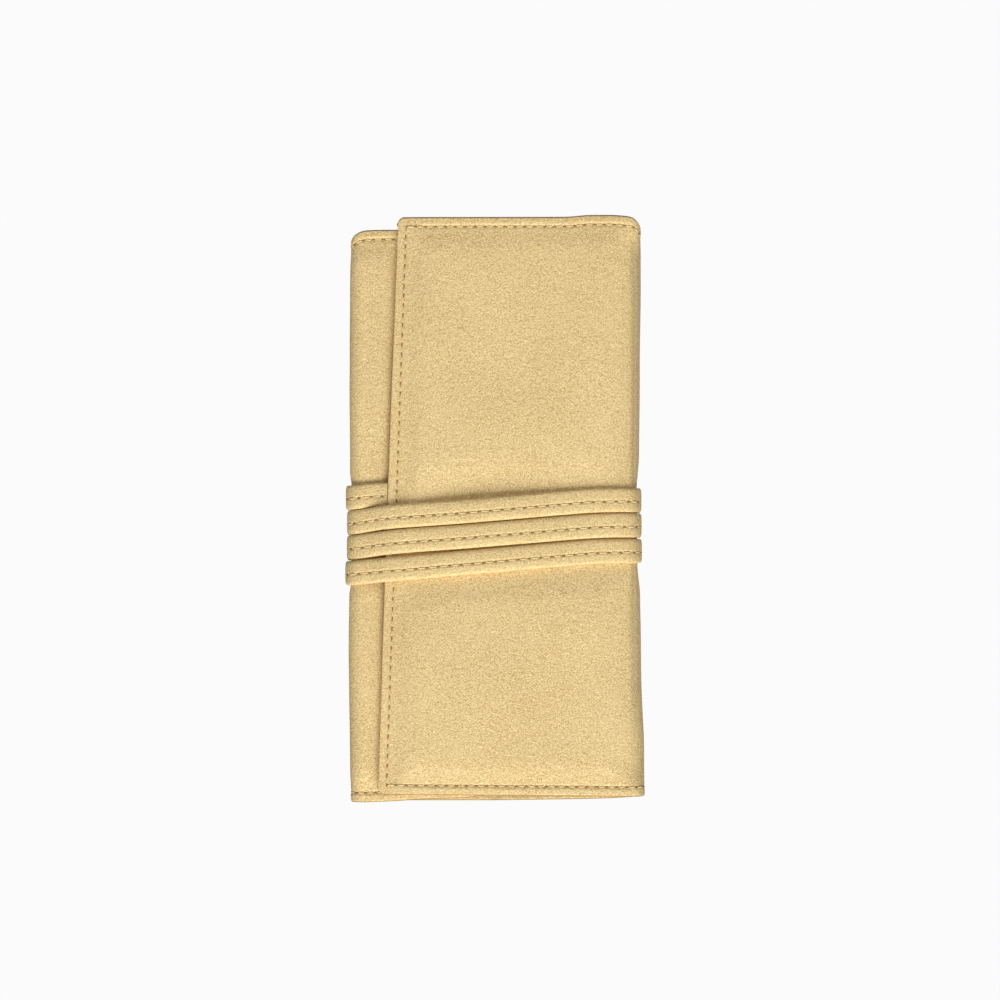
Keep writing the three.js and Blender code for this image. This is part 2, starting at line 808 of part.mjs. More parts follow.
// Ring bar: a padded roll held at its lower end by a sewn anchor and at its upper end by a snap.
const ring_bar_x = 14;
const ring_bar_radius = 4.9;
const ring_bar_length = 92;
const ring_bar_low_y = -44;
const ring_bar_rise = 0.4; // above the lining
const ring_tab_width = 9;
const ring_tab_length = 17;
const ring_anchor_length = 13;
const ring_link_length = 3.4;
const ring_dome_share = 0.35;
const ring_axis_z = panel + ring_bar_rise + ring_bar_radius;
const ring_bar = new THREE.Group();
const ring_dome = ring_bar_radius * ring_dome_share;
const ring_dome_points = [];
for (let i = 0; i <= arc_steps; i++) {
  const angle = (right_angle * i) / arc_steps;
  ring_dome_points.push([ring_bar_radius * Math.sin(angle), ring_dome * (1 - Math.cos(angle))]);
}
const ring_bar_profile = [
  ...ring_dome_points,
  ...ring_dome_points.map(([radius, height]) => [radius, ring_bar_length - height]).reverse(),
].map(([radius, height]) => new THREE.Vector2(radius, height));
const ring_bar_roll = geometryOf(solid(new THREE.LatheGeometry(ring_bar_profile, round_steps)));
node(ring_bar, "ring_bar_roll", ring_bar_roll, suede).position.set(ring_bar_x, ring_bar_low_y, ring_axis_z);
const ring_tab_low_y = ring_bar_low_y + ring_bar_length + seam_gap;
node(
  ring_bar,
  "ring_bar_tab",
  roundedPlate(
    ring_bar_x - ring_tab_width / 2,
    ring_bar_x + ring_tab_width / 2,
    ring_tab_low_y,
    ring_tab_low_y + ring_tab_length,
    mount_strip_margin,
    tab_z,
    tab_z + tab_thickness,
  ),
  pocket_hide,
);
const ring_snap_y = ring_tab_low_y + ring_tab_length - snap_end_inset;
socketAndCap(ring_bar, "ring_bar", ring_bar_x, ring_snap_y);
stud(back, "ring_bar_stud", ring_bar_x, ring_snap_y);
const ring_link_high_y = ring_bar_low_y - seam_gap;
const ring_link_low_y = ring_link_high_y - ring_link_length;
node(
  ring_bar,
  "ring_bar_link",
  block(
    ring_bar_x - ring_tab_width / 2,
    ring_bar_x + ring_tab_width / 2,
    ring_link_low_y,
    ring_link_high_y,
    tab_z,
    tab_z + tab_thickness,
  ),
  pocket_hide,
);
node(
  back,
  "ring_bar_anchor",
  roundedPlate(
    ring_bar_x - ring_tab_width / 2 - mount_strip_margin,
    ring_bar_x + ring_tab_width / 2 + mount_strip_margin,
    ring_link_low_y - seam_gap - ring_anchor_length,
    ring_link_low_y - seam_gap,
    mount_strip_margin,
    stud_z,
    tab_z + tab_thickness,
  ),
  pocket_hide,
);
back.add(ring_bar);

// Chain pouch: a shallow pocket at the back's lower left that catches the chains' ends, with an
// elastic hem along its mouth.
const pouch_left_inset = 6.5;
const pouch_right_x = -8;
const pouch_low_inset = 6;
const pouch_length = 46;
const pouch_wall = 0.8;
const pouch_rise = 1.4;
const hem_radius = 1.1;
const pouch_low_y = inner_low_y + pouch_low_inset;
const pouch_high_y = pouch_low_y + pouch_length;
const pouch_left_x = pouch_left_inset - half_width;
const pouch_high_z = stud_z + pouch_rise + pouch_wall;
const pouch_block = solid(
  block(pouch_left_x, pouch_right_x, pouch_low_y, pouch_high_y, stud_z, pouch_high_z),
);
const pouch_room = block(
  pouch_left_x + pouch_wall,
  pouch_right_x - pouch_wall,
  pouch_low_y + pouch_wall,
  pouch_high_y + pouch_wall,
  0,
  stud_z + pouch_rise,
);
node(back, "chain_pouch", geometryOf(pouch_block.subtract(solid(pouch_room))), suede);
const hem_path = new THREE.LineCurve3(
  new THREE.Vector3(pouch_left_x, pouch_high_y + seam_gap + hem_radius, stud_z + pouch_rise),
  new THREE.Vector3(pouch_right_x, pouch_high_y + seam_gap + hem_radius, stud_z + pouch_rise),
);
const hem_section = new THREE.Shape();
hem_section.absarc(0, 0, hem_radius, 0, 2 * Math.PI, false);
const hem = new THREE.ExtrudeGeometry(hem_section, {
  extrudePath: hem_path,
  steps: 1,
  curveSegments: arc_steps,
});
node(back, "chain_pouch_hem", hem, elastic);

// Wrapping strap: one flat strap, sewn between the cover's free edge leathers, that runs left
// round the left fold, behind the back, up round the right fold and over the front, three times,
// and ends behind the back. A station is a place on its middle line with its share of the way
// along the roll.
function strapArc(center_x, center_z, radius, from, to) {
  return arc(center_x, center_z, radius + strap_offset, from, to);
}

function leftTurn() {
  const low_radius = fold_radius - sink;
  return [
    ...strapArc(fold_radius - half_width, inner_top - fold_radius, fold_radius, right_angle, Math.PI),
    ...strapArc(low_radius - half_width, fold_radius, low_radius, Math.PI, 3 * right_angle),
  ];
}

function rightTurn() {
  const low_radius = fold_radius - sink;
  return [
    ...strapArc(half_width - low_radius, fold_radius, low_radius, -right_angle, 0),
    ...strapArc(half_width - fold_radius, cover_top - fold_radius, fold_radius, 0, right_angle),
  ];
}

// The front run over the cover, its dip and its free edge, down to the inner panel.
const step_margin = 1; // the strap clears the free edge before it drops
const same_place_share = 0.1; // of the strap's thickness: closer stations are one
function frontRun(y) {
  const edge_x = freeEdgeX(y - strap_width / 2) - step_margin;
  const landing_x = fold_radius - half_width;
  const points = dip(cover_top + strap_offset, edge_top + strap_offset);
  for (let i = 0; i < arc_steps; i++) {
    const share = i / arc_steps;
    const drop = (1 + Math.cos(share * Math.PI)) / 2;
    const z = inner_top + strap_offset + (edge_top - inner_top) * drop;
    points.push(new THREE.Vector2(edge_x + share * (landing_x - edge_x), z));
  }
  return points;
}

function strapStations() {
  const stations = [];
  const lay = (points, y_at) => {
    for (const point of points) stations.push(new THREE.Vector3(point.x, y_at(point.x), point.y));
  };
  const root_x = freeEdgeX(root_y + strap_width / 2) - seam_gap;
  const root_edge_x = freeEdgeX(root_y - strap_width / 2) - seam_gap;
  const start = new THREE.Vector2(Math.min(root_x, root_edge_x), inner_top + strap_offset);
  lay([start], () => root_y);
  const right_end = half_width - fold_radius;
  const front_length = 2 * right_end;
  for (let turn = 0; turn < strap_turns; turn++) {
    const left_y = turn === 0 ? root_y : left_turn_y - (turn - 1) * strap_pitch;
    const right_y = first_turn_y - turn * strap_pitch;
    lay(leftTurn(), () => left_y);
    lay(rightTurn(), () => right_y);
    lay(frontRun(right_y - front_slant), (x) => right_y - (front_slant * (right_end - x)) / front_length);
  }
  const last_y = left_turn_y - (strap_turns - 1) * strap_pitch;
  lay(leftTurn(), () => last_y);
  const tail_x = fold_radius - sink - half_width + tail_length;
  lay([new THREE.Vector2(tail_x, sink - strap_offset)], () => tail_y);
  const apart = strap_thickness * same_place_share;
  return stations.filter((place, i) => i === 0 || place.distanceTo(stations[i - 1]) > apart);
}

// Each station's four corners, turned with the strap's run in the plane across the roll.
function strapCorners(stations) {
  return stations.map((place, i) => {
    const before = stations[Math.max(i - 1, 0)];
    const after = stations[Math.min(i + 1, stations.length - 1)];
    const run = new THREE.Vector2(after.x - before.x, after.z - before.z).normalize();
    const half = strap_thickness / 2;
    const outward = new THREE.Vector3(run.y * half, 0, -run.x * half);
    const across = new THREE.Vector3(0, strap_width / 2, 0);
    return [
      place.clone().add(outward).add(across),
      place.clone().add(outward).sub(across),
      place.clone().sub(outward).sub(across),
      place.clone().sub(outward).add(across),
    ];
  });
}

function strapGeometry(stations) {
  const corners = strapCorners(stations);
  const positions = [];
  const quad = (a, b, c, d) => {
    for (const corner of [a, b, c, a, c, d]) positions.push(corner.x, corner.y, corner.z);
  };
  for (let i = 0; i + 1 < corners.length; i++) {
    const here = corners[i];
    const next = corners[i + 1];
    for (let side = 0; side < here.length; side++) {
      const other = (side + 1) % here.length;
      quad(here[side], next[side], next[other], here[other]);
    }
  }
  const first = corners[0];
  const last = corners[corners.length - 1];
  quad(first[0], first[1], first[2], first[3]);
  quad(last[3], last[2], last[1], last[0]);
  const geometry = new THREE.BufferGeometry();
  geometry.setAttribute("position", new THREE.Float32BufferAttribute(positions, 3));
  geometry.computeVertexNormals();
  return geometry;
}

// The least gap between two turns, on points along both edges of both faces of the strap.
function leastStrapGap(stations) {
  const spacing = strap_thickness;
  const samples = [];
  let along = 0;
  const corners = strapCorners(stations);
  for (let i = 0; i + 1 < stations.length; i++) {
    const span = stations[i].distanceTo(stations[i + 1]);
    const count = Math.ceil(span / spacing);
    for (let k = 0; k < count; k++) {
      const share = k / count;
      const places = corners[i].map((corner, side) => corner.clone().lerp(corners[i + 1][side], share));
      samples.push({ along: along + share * span, places });
    }
    along += span;
  }
  const half_turn = roll_width + cover_top;
  let least = Infinity;
  for (let i = 0; i < samples.length; i++) {
    for (let j = i + 1; j < samples.length; j++) {
      if (samples[j].along - samples[i].along < half_turn) continue;
      for (const a of samples[i].places) {
        for (const b of samples[j].places) least = Math.min(least, a.distanceTo(b));
      }
    }
  }
  return least;
}

const strap_stations = strapStations();
node(cover_flap, "wrap_strap", strapGeometry(strap_stations), gold_hide);
console.log("wrap_strap: least gap between turns " + leastStrapGap(strap_stations).toFixed(2) + " mm");

// The whole roll.
const jewelry_roll = new THREE.Group();
right_spine.add(cover_flap);
left_spine.add(inner_panel);
back.add(right_spine, left_spine);
jewelry_roll.add(back);

export default jewelry_roll;
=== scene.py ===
import bmesh
import bpy
import numpy as np
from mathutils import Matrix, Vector


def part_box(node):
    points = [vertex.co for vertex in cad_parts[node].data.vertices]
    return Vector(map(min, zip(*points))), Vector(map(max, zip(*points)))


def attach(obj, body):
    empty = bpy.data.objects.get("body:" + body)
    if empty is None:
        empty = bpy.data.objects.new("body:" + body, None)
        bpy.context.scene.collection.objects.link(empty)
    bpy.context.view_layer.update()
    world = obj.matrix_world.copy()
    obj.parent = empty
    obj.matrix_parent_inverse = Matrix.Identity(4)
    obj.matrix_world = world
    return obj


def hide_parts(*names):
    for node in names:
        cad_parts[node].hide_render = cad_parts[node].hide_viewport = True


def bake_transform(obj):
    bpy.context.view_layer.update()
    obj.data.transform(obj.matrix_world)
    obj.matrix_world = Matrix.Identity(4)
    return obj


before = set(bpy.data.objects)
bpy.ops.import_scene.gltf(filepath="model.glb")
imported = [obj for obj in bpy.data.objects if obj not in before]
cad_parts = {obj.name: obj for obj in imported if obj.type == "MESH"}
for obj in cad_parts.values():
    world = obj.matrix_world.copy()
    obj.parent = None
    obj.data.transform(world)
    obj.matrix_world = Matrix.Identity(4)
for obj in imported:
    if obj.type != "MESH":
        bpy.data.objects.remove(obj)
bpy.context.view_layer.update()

# Camera, floor and light. The closed roll lies on a white table and is seen from straight above
# through a long lens. One wide soft lamp stands beyond its lower end, and a weak one above it.
MM = 0.001
scene = bpy.context.scene
scene.view_settings.view_transform = "Standard"

view_span = 369.0
view_middle = (1.48, 3.32)
view_plane = 17.0
camera_height = 2600.0
sensor_width = 36
lens_camera = bpy.data.cameras.new("above_roll")
lens_camera.sensor_width = sensor_width
lens_camera.lens = sensor_width * (camera_height - view_plane) / view_span
camera = bpy.data.objects.new("above_roll", lens_camera)
scene.collection.objects.link(camera)
camera.location = (view_middle[0] * MM, view_middle[1] * MM, camera_height * MM)
scene.camera = camera


class Tone:
    """One socket in a material's node tree. Sums and products of tones add their Math nodes."""

    def __init__(self, tree, socket=None):
        self.tree = tree
        self.socket = socket

    def add(self, kind, sockets, output=0, **settings):
        """Adds a node of this kind: its settings first, then its sockets' numbers and links."""
        node = self.tree.nodes.new(kind)
        for key, value in settings.items():
            setattr(node, key, value)
        for key, value in sockets.items():
            if isinstance(value, Tone):
                self.tree.links.new(value.socket, node.inputs[key])
            else:
                node.inputs[key].default_value = value
        return Tone(self.tree, node.outputs[output] if len(node.outputs) else None)

    def math(self, operation, first, second, clamp=False):
        """One Math node on two tones or on a tone and a number."""
        return self.add("ShaderNodeMath", {0: first, 1: second}, operation=operation, use_clamp=clamp)

    def __add__(self, other):
        return self.math("ADD", self, other)

    def __radd__(self, other):
        return self.math("ADD", other, self)

    def __sub__(self, other):
        return self.math("SUBTRACT", self, other)

    def __rsub__(self, other):
        return self.math("SUBTRACT", other, self)

    def __mul__(self, other):
        return self.math("MULTIPLY", self, other)

    def __rmul__(self, other):
        return self.math("MULTIPLY", other, self)

    def above(self, level, softness):
        """0 below the level and 1 above it, with a soft step of this width."""
        sockets = {"Value": self, "From Min": level - softness / 2, "From Max": level + softness / 2}
        return self.add("ShaderNodeMapRange", sockets, interpolation_type="SMOOTHSTEP")

    def mix(self, first, second):
        """The first colour where this tone is 0 and the second where it is 1."""
        sockets = {0: self, 6: first, 7: second}
        return self.add("ShaderNodeMix", sockets, 2, data_type="RGBA", clamp_factor=True)

    def noise(self, scale, detail=2.0, roughness=0.5):
        """Soft noise over the places that this tone holds."""
        sockets = {"Vector": self, "Scale": scale, "Detail": detail, "Roughness": roughness}
        return self.add("ShaderNodeTexNoise", sockets)

    def cells(self, scale, smoothness):
        """Rounded cells: 0 in the middle of each, rising towards its borders."""
        sockets = {"Vector": self, "Scale": scale, "Smoothness": smoothness}
        return self.add("ShaderNodeTexVoronoi", sockets, feature="SMOOTH_F1")

    def waves(self, direction, scale, distortion=0.0):
        """Parallel bands, which this direction crosses."""
        sockets = {"Vector": self, "Scale": scale, "Distortion": distortion}
        return self.add("ShaderNodeTexWave", sockets, 1, bands_direction=direction)

    def finish(self, shade, rough, height, strength, depth, more):
        """The material's surface: its colour, its roughness and a bump from a height."""
        bump = self.add("ShaderNodeBump", {"Height": height, "Strength": strength, "Distance": depth})
        sockets = {"Base Color": shade, "Roughness": rough, "Normal": bump, **more}
        self.add("ShaderNodeOutputMaterial", {"Surface": self.add("ShaderNodeBsdfPrincipled", sockets)})


def colour(red, green, blue):
    """A colour as it looks on screen, 0 to 255, turned into the light that it stands for."""
    screen = np.array([red, green, blue]) / 255
    light = np.where(screen <= 0.04045, screen / 12.92, ((screen + 0.055) / 1.055) ** 2.4)
    return (*light.tolist(), 1.0)


def new_finish(name):
    """An empty material, the tone that adds nodes to it and the object's own coordinates."""
    material = bpy.data.materials.new(name)
    material.use_nodes = True
    material.node_tree.nodes.clear()
    tone = Tone(material.node_tree)
    return material, tone, tone.add("ShaderNodeTexCoord", {}, "Object")


def shown_directly(tone):
    """1 on paths that show a thing itself or its reflection, and 0 on those that only light it."""
    paths = ("Is Camera Ray", "Is Glossy Ray", "Is Transmission Ray")
    camera_path, glossy_path, clear_path = (tone.add("ShaderNodeLightPath", {}, path) for path in paths)
    return tone.math("ADD", camera_path + glossy_path, clear_path, clamp=True)


white = (1, 1, 1, 1)


def table_finish():
    """Pale paper. Seen directly or in a reflection it glows white and keeps a faint shadow."""
    material, tone, _ = new_finish("white_table")
    paper = tone.add("ShaderNodeBsdfDiffuse", {"Color": colour(120, 120, 120)})
    glow = tone.add("ShaderNodeEmission", {"Color": white, "Strength": 1.0})
    shown = tone.add("ShaderNodeMixShader", {0: 0.96 * shown_directly(tone), 1: paper, 2: glow})
    tone.add("ShaderNodeOutputMaterial", {"Surface": shown})
    return material


table_half = 3000.0
table_mesh = bpy.data.meshes.new("white_table")
table_corners = np.array([[-1, -1, 0], [1, -1, 0], [1, 1, 0], [-1, 1, 0]]) * table_half * MM
table_mesh.from_pydata(table_corners.tolist(), [], [[0, 1, 2, 3]])
table_mesh.materials.append(table_finish())
white_table = bpy.data.objects.new("white_table", table_mesh)
scene.collection.objects.link(white_table)

world = bpy.data.worlds.new("studio")
world.use_nodes = True
world.node_tree.nodes.clear()
room = Tone(world.node_tree)
room_fill = room.add("ShaderNodeBackground", {"Color": white, "Strength": 0.18})
room_white = room.add("ShaderNodeBackground", {"Color": white, "Strength": 1.0})
room_shown = room.add("ShaderNodeMixShader", {0: shown_directly(room), 1: room_fill, 2: room_white})
room.add("ShaderNodeOutputWorld", {"Surface": room_shown})
scene.world = world


def soft_lamp(name, place, size, power):
    """A square lamp at a place, facing the roll; sizes in millimetres and watts."""
    light = bpy.data.lights.new(name, "AREA")
    light.shape = "SQUARE"
    light.size = size * MM
    light.energy = power
    lamp = bpy.data.objects.new(name, light)
    scene.collection.objects.link(lamp)
    lamp.location = np.array(place) * MM
    lamp.rotation_euler = (-Vector(place)).to_track_quat("-Z", "Y").to_euler()


soft_lamp("key_lamp", (0, -4450, 3230), 4700, 375)
soft_lamp("far_lamp", (500, 1000, 2200), 1200, 6)

# Outer leather: pebbled champagne-gold hide in one sheet, wadded and turned over two folds on each
# side. It is drawn in four pieces that meet in the middle of the back and of each side strip, and
# each spans one fold. The wadding ends short of the cut edges, which are sewn down flat.
half_width = 53.9
fold_radius = 5.0
cover_top = 22.0
inner_top = 17.1
hide_thickness = 1.2
row_low_y = -106.0
row_high_y = 106.0
rim_sink_back = 1.85
rim_sink_side = 0.3
rim_sink_top = 0.8
edge_sink = 2.0
seam_inset = 2.95
seam_lip = 1.6
strap_sink_back = 1.75
strap_sink_cover = 0.95
strap_sink_inner = 0.55
tip_corner = 2.2
tip_clearance = 1.1
end_hold = 16
end_blend = 50
lean_start = 8
lean_length = 60
hollow_x = -8
wadding_slope = 34
groove_depth = 0.32
lip_height = 0.14
cover_crown = 0.32
inner_crown = 0.25
shoulder_sink = 2.25
cover_bulge = 1.45
inner_bulge = 0.4
under_edge_sink = 1.3


def smooth(share):
    """A soft step: 0 up to share 0, 1 from share 1 on, and level at both ends."""
    share = np.clip(share, 0, 1)
    return share * share * (3 - 2 * share)


def bell(offset, width):
    """1 where the offset is 0, falling away on both sides over about the width."""
    return np.exp(-((offset / width) ** 2))


def eased(knots, values, softness):
    """A line through the values at the knots, with its corners blurred over the softness."""
    fine = np.linspace(knots[0] - 4 * softness, knots[-1] + 4 * softness, 1201)
    step = fine[1] - fine[0]
    reach = int(3 * softness / step) + 1
    weights = np.exp(-0.5 * (np.arange(-reach, reach + 1) * step / softness) ** 2)
    padded = np.pad(np.interp(fine, knots, values), reach, mode="edge")
    blurred = np.convolve(padded, weights / weights.sum(), mode="valid")
    return lambda place: np.interp(place, fine, blurred)


def section(top, radius, width, low):
    """The path of a face round one side of the roll: out along the bottom at height low, up a
    quarter circle, up the side at the width, round a second quarter circle and back along the
    top. Gives its length, x, z and the angle that it faces."""
    turn = np.radians(np.linspace(-90, 0, 25))
    on = turn + np.pi / 2
    parts = [
        ([0.0], [low], [-90.0]),
        (width - radius + radius * np.cos(turn), low + radius + radius * np.sin(turn), np.degrees(turn)),
        (width - radius + radius * np.cos(on), top - radius + radius * np.sin(on), np.degrees(turn) + 90),
        ([-2 * half_width], [top], [90.0]),
    ]
    x, z, facing = (np.concatenate(column) for column in zip(*parts))
    length = np.concatenate([[0], np.cumsum(np.hypot(np.diff(x), np.diff(z)))])
    return length, x, z, facing


def along_section(path, at):
    """Places at these lengths along a section: x, z and the angle that it faces, in radians."""
    length, x, z, facing = path
    return np.interp(at, length, x), np.interp(at, length, z), np.radians(np.interp(at, length, facing))


right_section = section(cover_top, fold_radius, half_width, 0.0)
left_section = section(inner_top, fold_radius, half_width, 0.0)
fold_start = half_width - fold_radius
quarter = fold_radius * np.pi / 2
right_strip_low = fold_start + quarter
right_strip_high = right_strip_low + cover_top - 2 * fold_radius
cover_start = right_strip_high + quarter
left_strip_high = right_strip_low + inner_top - 2 * fold_radius
inner_start = left_strip_high + quarter
right_meeting = (right_strip_low + right_strip_high) / 2
left_meeting = (right_strip_low + left_strip_high) / 2
edge_x_middle = -39.75
edge_lean = 7.5 / 213.2
cover_end = cover_start + fold_start - edge_x_middle
inner_end = inner_start + fold_start - tip_clearance - hide_thickness / 2

right_low_line = eased(
    [0, 30, 42, 54, 62, 69, 72, 78, cover_end],
    [-107.5, -107.1, -106.8, -106.1, -105.5, -105.3, -105.4, -105.4, -104.6],
    1.0,
)
right_high_line = eased(
    [0, 49, 56, 62, 68.5, 71.6, 74, 78, 82, 92, 100, cover_end],
    [103.8, 104.8, 103.6, 103.2, 103.8, 105.3, 106.8, 107.5, 107.8, 107.8, 107.1, 107.0],
    0.8,
)
left_low_line = eased(
    [0, 49, 57, 63, 66, 73, 85, 92, 108, inner_end],
    [-107.5, -107.5, -107.5, -107.6, -107.7, -107.7, -107.2, -106.6, -106.2, -104.9],
    0.8,
)
left_high_line = eased(
    [0, 30, 38, 49, 56, 61, 64, 66.7, 69.6, 72.5, 78, inner_end],
    [103.8, 102.6, 101.2, 100.4, 98.6, 98.0, 98.4, 100.4, 101.7, 102.3, 102.5, 102.5],
    0.8,
)

back_band_middle = eased([-half_width, half_width], [-9.4, -6.4], 4)
back_band_half = eased([-half_width, half_width], [19.0, 13.9], 4)
front_band_middle = eased(
    [-54, -40, -27, -13, 24, 35, 46, 54],
    [-14.2, -12.3, -11.2, -10.3, -7.2, -6.4, -6.2, -6.3],
    5,
)
front_band_half = 14.2
side_draw = eased([-106, -88, -75, -45, 0, 60, 85, 106], [0, 0, 0.5, 0.4, 0.9, 1.0, 0.4, 0.1], 5)
wave_lengths = np.array([23.0, 31.0, 37.0, 52.0, 64.0, 83.0])
wave_turns = np.radians([20.0, 75.0, 130.0, 48.0, 110.0, 160.0])
wave_starts = np.array([0.3, 1.7, 4.1, 2.6, 5.2, 3.3])
wave_steepness = 1100


def unevenness(x, y):
    """Slow swells of the wadding: a sum of six waves of different length and direction, in mm."""
    total = 0.0
    for length, turn, start in zip(wave_lengths, wave_turns, wave_starts):
        along = x * np.cos(turn) + y * np.sin(turn)
        total = total + np.sin(along * 2 * np.pi / length + start) * length / wave_steepness
    return total


def free_edge_x(y):
    """Where the cover's leaning free edge lies at a height y along the roll."""
    return edge_x_middle + y * edge_lean + hide_thickness / 2


def end_shares(v):
    """How much a row follows the low and the high end line: wholly near the end, then less."""
    near_low = 1 - smooth((v - row_low_y - end_hold) / end_blend)
    return near_low, 1 - smooth((row_high_y - v - end_hold) / end_blend)


def end_distance(v):
    """How far a row lies from the nearer end of the roll."""
    return np.minimum(v - row_low_y, row_high_y - v)


def rim_profile(distance, sink, rise):
    """Sewn flat up to the seam, with a groove where the thread pulls, then rising over the wadding."""
    flat = sink * (1 - smooth((distance - seam_inset - 0.35) / rise))
    groove = groove_depth * bell(distance - seam_inset, 0.5)
    return flat + groove - lip_height * bell(distance - seam_lip, 0.9)


def sewn_rims(facing, v, from_tip, tip_sink, tip_rise):
    """How far the sewn ends and the tip lie below the wadded face, rounded where they meet. The
    ends lie deepest behind and least deep on the side strips."""
    side = np.cos(facing) ** 2
    flat = np.where(facing > 0, rim_sink_top, rim_sink_back)
    ends = rim_profile(end_distance(v), flat * (1 - side) + rim_sink_side * side, 8.0)
    tip = rim_profile(from_tip, tip_sink, tip_rise)
    return np.sign(ends + tip) * (np.abs(ends) ** 4 + np.abs(tip) ** 4) ** 0.25


def band_press(reach, depth, slope):
    """How deep the strap's turns press the leather, at a distance past the outer turns' edges."""
    return depth * (1 - smooth((reach + 0.6) / slope))


def wadding_crown(height, v, reach):
    """The wadding's crown between the ends and the strap."""
    return height * smooth((end_distance(v) - 6) / wadding_slope) * smooth((reach - 6) / wadding_slope)


def moved_out(x, y, z, facing, out):
    """A section's places moved out square to it."""
    return np.stack([x + np.cos(facing) * out, y, z + np.sin(facing) * out], axis=-1)


def right_skin(u, v):
    """Outer face from the middle of the back (u = 0), round the right fold, to the cover's free
    edge. u is the way along the section and v the way along the roll; rows near the ends follow
    the end lines and columns near the free edge follow its lean. The face is the section moved
    in by the sewn rims and the strap's press, and out by the wadding's crown and swells."""
    low = right_low_line(u) - row_low_y
    high = right_high_line(u) - row_high_y
    in_corner = np.clip(tip_corner - (cover_end - u), 0, tip_corner)
    corner = tip_corner - np.sqrt(np.clip(tip_corner**2 - in_corner**2, 0, None))
    near_low, near_high = end_shares(v)
    y = v + (low + corner) * near_low + (high - corner) * near_high
    leaning = np.clip((u - cover_start - lean_start) / lean_length, 0, 1)
    lean = (edge_x_middle + hide_thickness / 2 - free_edge_x(y)) * leaning
    s = np.where(u > cover_start + lean_start, u + lean, u)
    x, z, facing = along_section(right_section, s)
    lifted = smooth((s - fold_start - 2) / 8)
    rims = sewn_rims(facing, v, cover_end - u, edge_sink, 9.0)
    on_top = smooth((s - right_strip_high) / quarter)
    middle = np.where(s < right_meeting, back_band_middle(x), front_band_middle(x))
    middle = middle + (front_band_middle(half_width) - middle) * bell(s - right_meeting, 7)
    reach = np.abs(y - middle) - (back_band_half(x) * (1 - lifted) + front_band_half * lifted)
    depth = strap_sink_back + (strap_sink_cover - strap_sink_back) * lifted
    shallower = 0.7 - 0.5 * bell(x - hollow_x, 24)
    depth = depth + (0.15 - shallower * smooth((y - middle + 8) / 16)) * on_top
    hollow = bell(x - hollow_x, 28) * smooth((y - middle) / 8) * on_top
    press = band_press(reach, depth + 0.35 * hollow, 6 + 7 * lifted + 4 * hollow)
    press = press * (1 - on_top * (1 - smooth((cover_end - u - 2) / 9)))
    drawn = side_draw(y) * smooth((s - fold_start) / quarter) * (1 - on_top)
    shoulder = shoulder_sink * bell(s - (right_strip_high + cover_start) / 2, 6.0)
    shoulder = shoulder * (0.35 + 0.65 * smooth(end_distance(v) / 12))
    bulge = cover_bulge * smooth((-56 - y) / 32) * bell(s - right_strip_high, 9.5)
    swell = unevenness(x, y) * lifted * smooth((end_distance(v) - 4) / 14) * smooth((cover_end - u - 4) / 10)
    swell = swell * smooth((np.abs(s - right_meeting) - 0.5) / 6)
    sunk = (np.maximum(rims, 0) ** 3 + press**3 + shoulder**3) ** (1 / 3) + np.minimum(rims, 0)
    out = wadding_crown(cover_crown, v, reach) * lifted + bulge + swell - sunk - drawn
    return moved_out(x, y, z, facing, out)


def left_skin(u, v):
    """Outer face from the middle of the back (u = 0), round the left fold, to the tip of the inner
    panel. It is worked out as the right side is, mirrored, with a lower top."""
    near_low, near_high = end_shares(v)
    low = left_low_line(u) - row_low_y
    y = v + low * near_low + (left_high_line(u) - row_high_y) * near_high
    x, z, facing = along_section(left_section, u)
    lifted = smooth((u - fold_start - 2) / 8)
    rims = sewn_rims(facing, v, inner_end - u, rim_sink_top, 8.0)
    reach = np.abs(y - back_band_middle(-x)) - back_band_half(-x)
    depth = strap_sink_back + (strap_sink_inner - strap_sink_back) * lifted
    press = band_press(reach, depth, 6 - 1.8 * lifted)
    bulge = inner_bulge * bell(y + 45, 30) * bell(u - left_meeting, 9)
    swell = unevenness(x + 140, y) * lifted * smooth((end_distance(v) - 4) / 14)
    swell = swell * smooth((inner_end - u - 4) / 10) * smooth((np.abs(u - left_meeting) - 0.5) / 5)
    under_edge = under_edge_sink * smooth((u - inner_start) / 4) * bell(-1.2 - x - free_edge_x(y), 3.6)
    under_edge = under_edge * smooth((end_distance(v) - 3) / 9)
    out = wadding_crown(inner_crown, v, reach) * lifted + bulge + swell - rims - press - under_edge
    return moved_out(x, y, z, facing, out) * [-1, 1, 1]


def grid_lines(stops, steps):
    """Grid lines from stop to stop, with each stretch cut into about so many millimetres."""
    parts = []
    for start, end, step in zip(stops[:-1], stops[1:], steps):
        parts.append(np.linspace(start, end, max(1, int(round((end - start) / step))), endpoint=False))
    return np.append(np.concatenate(parts), stops[-1])


rim_lines = np.array(
    [0, 0.35, 0.9, 1.5, 2.0, 2.4, 2.7, 2.95, 3.2, 3.5, 3.9, 4.5, 5.3, 6.4, 8, 10, 12.5, 15.5]
)
middle_lines = grid_lines([row_low_y + 18.5, -44, 24, row_high_y - 18.5], [3.0, 1.5, 3.0])
row_lines = np.concatenate([row_low_y + rim_lines, middle_lines, (row_high_y - rim_lines)[::-1]])


def grid_of(skin, u_lines, v_lines):
    """The skin's places where these columns and rows cross."""
    return skin(*np.meshgrid(u_lines, v_lines, indexing="ij"))


def unit(vectors):
    """Each vector divided by its own length."""
    return vectors / np.maximum(np.linalg.norm(vectors, axis=-1, keepdims=True), 1e-9)


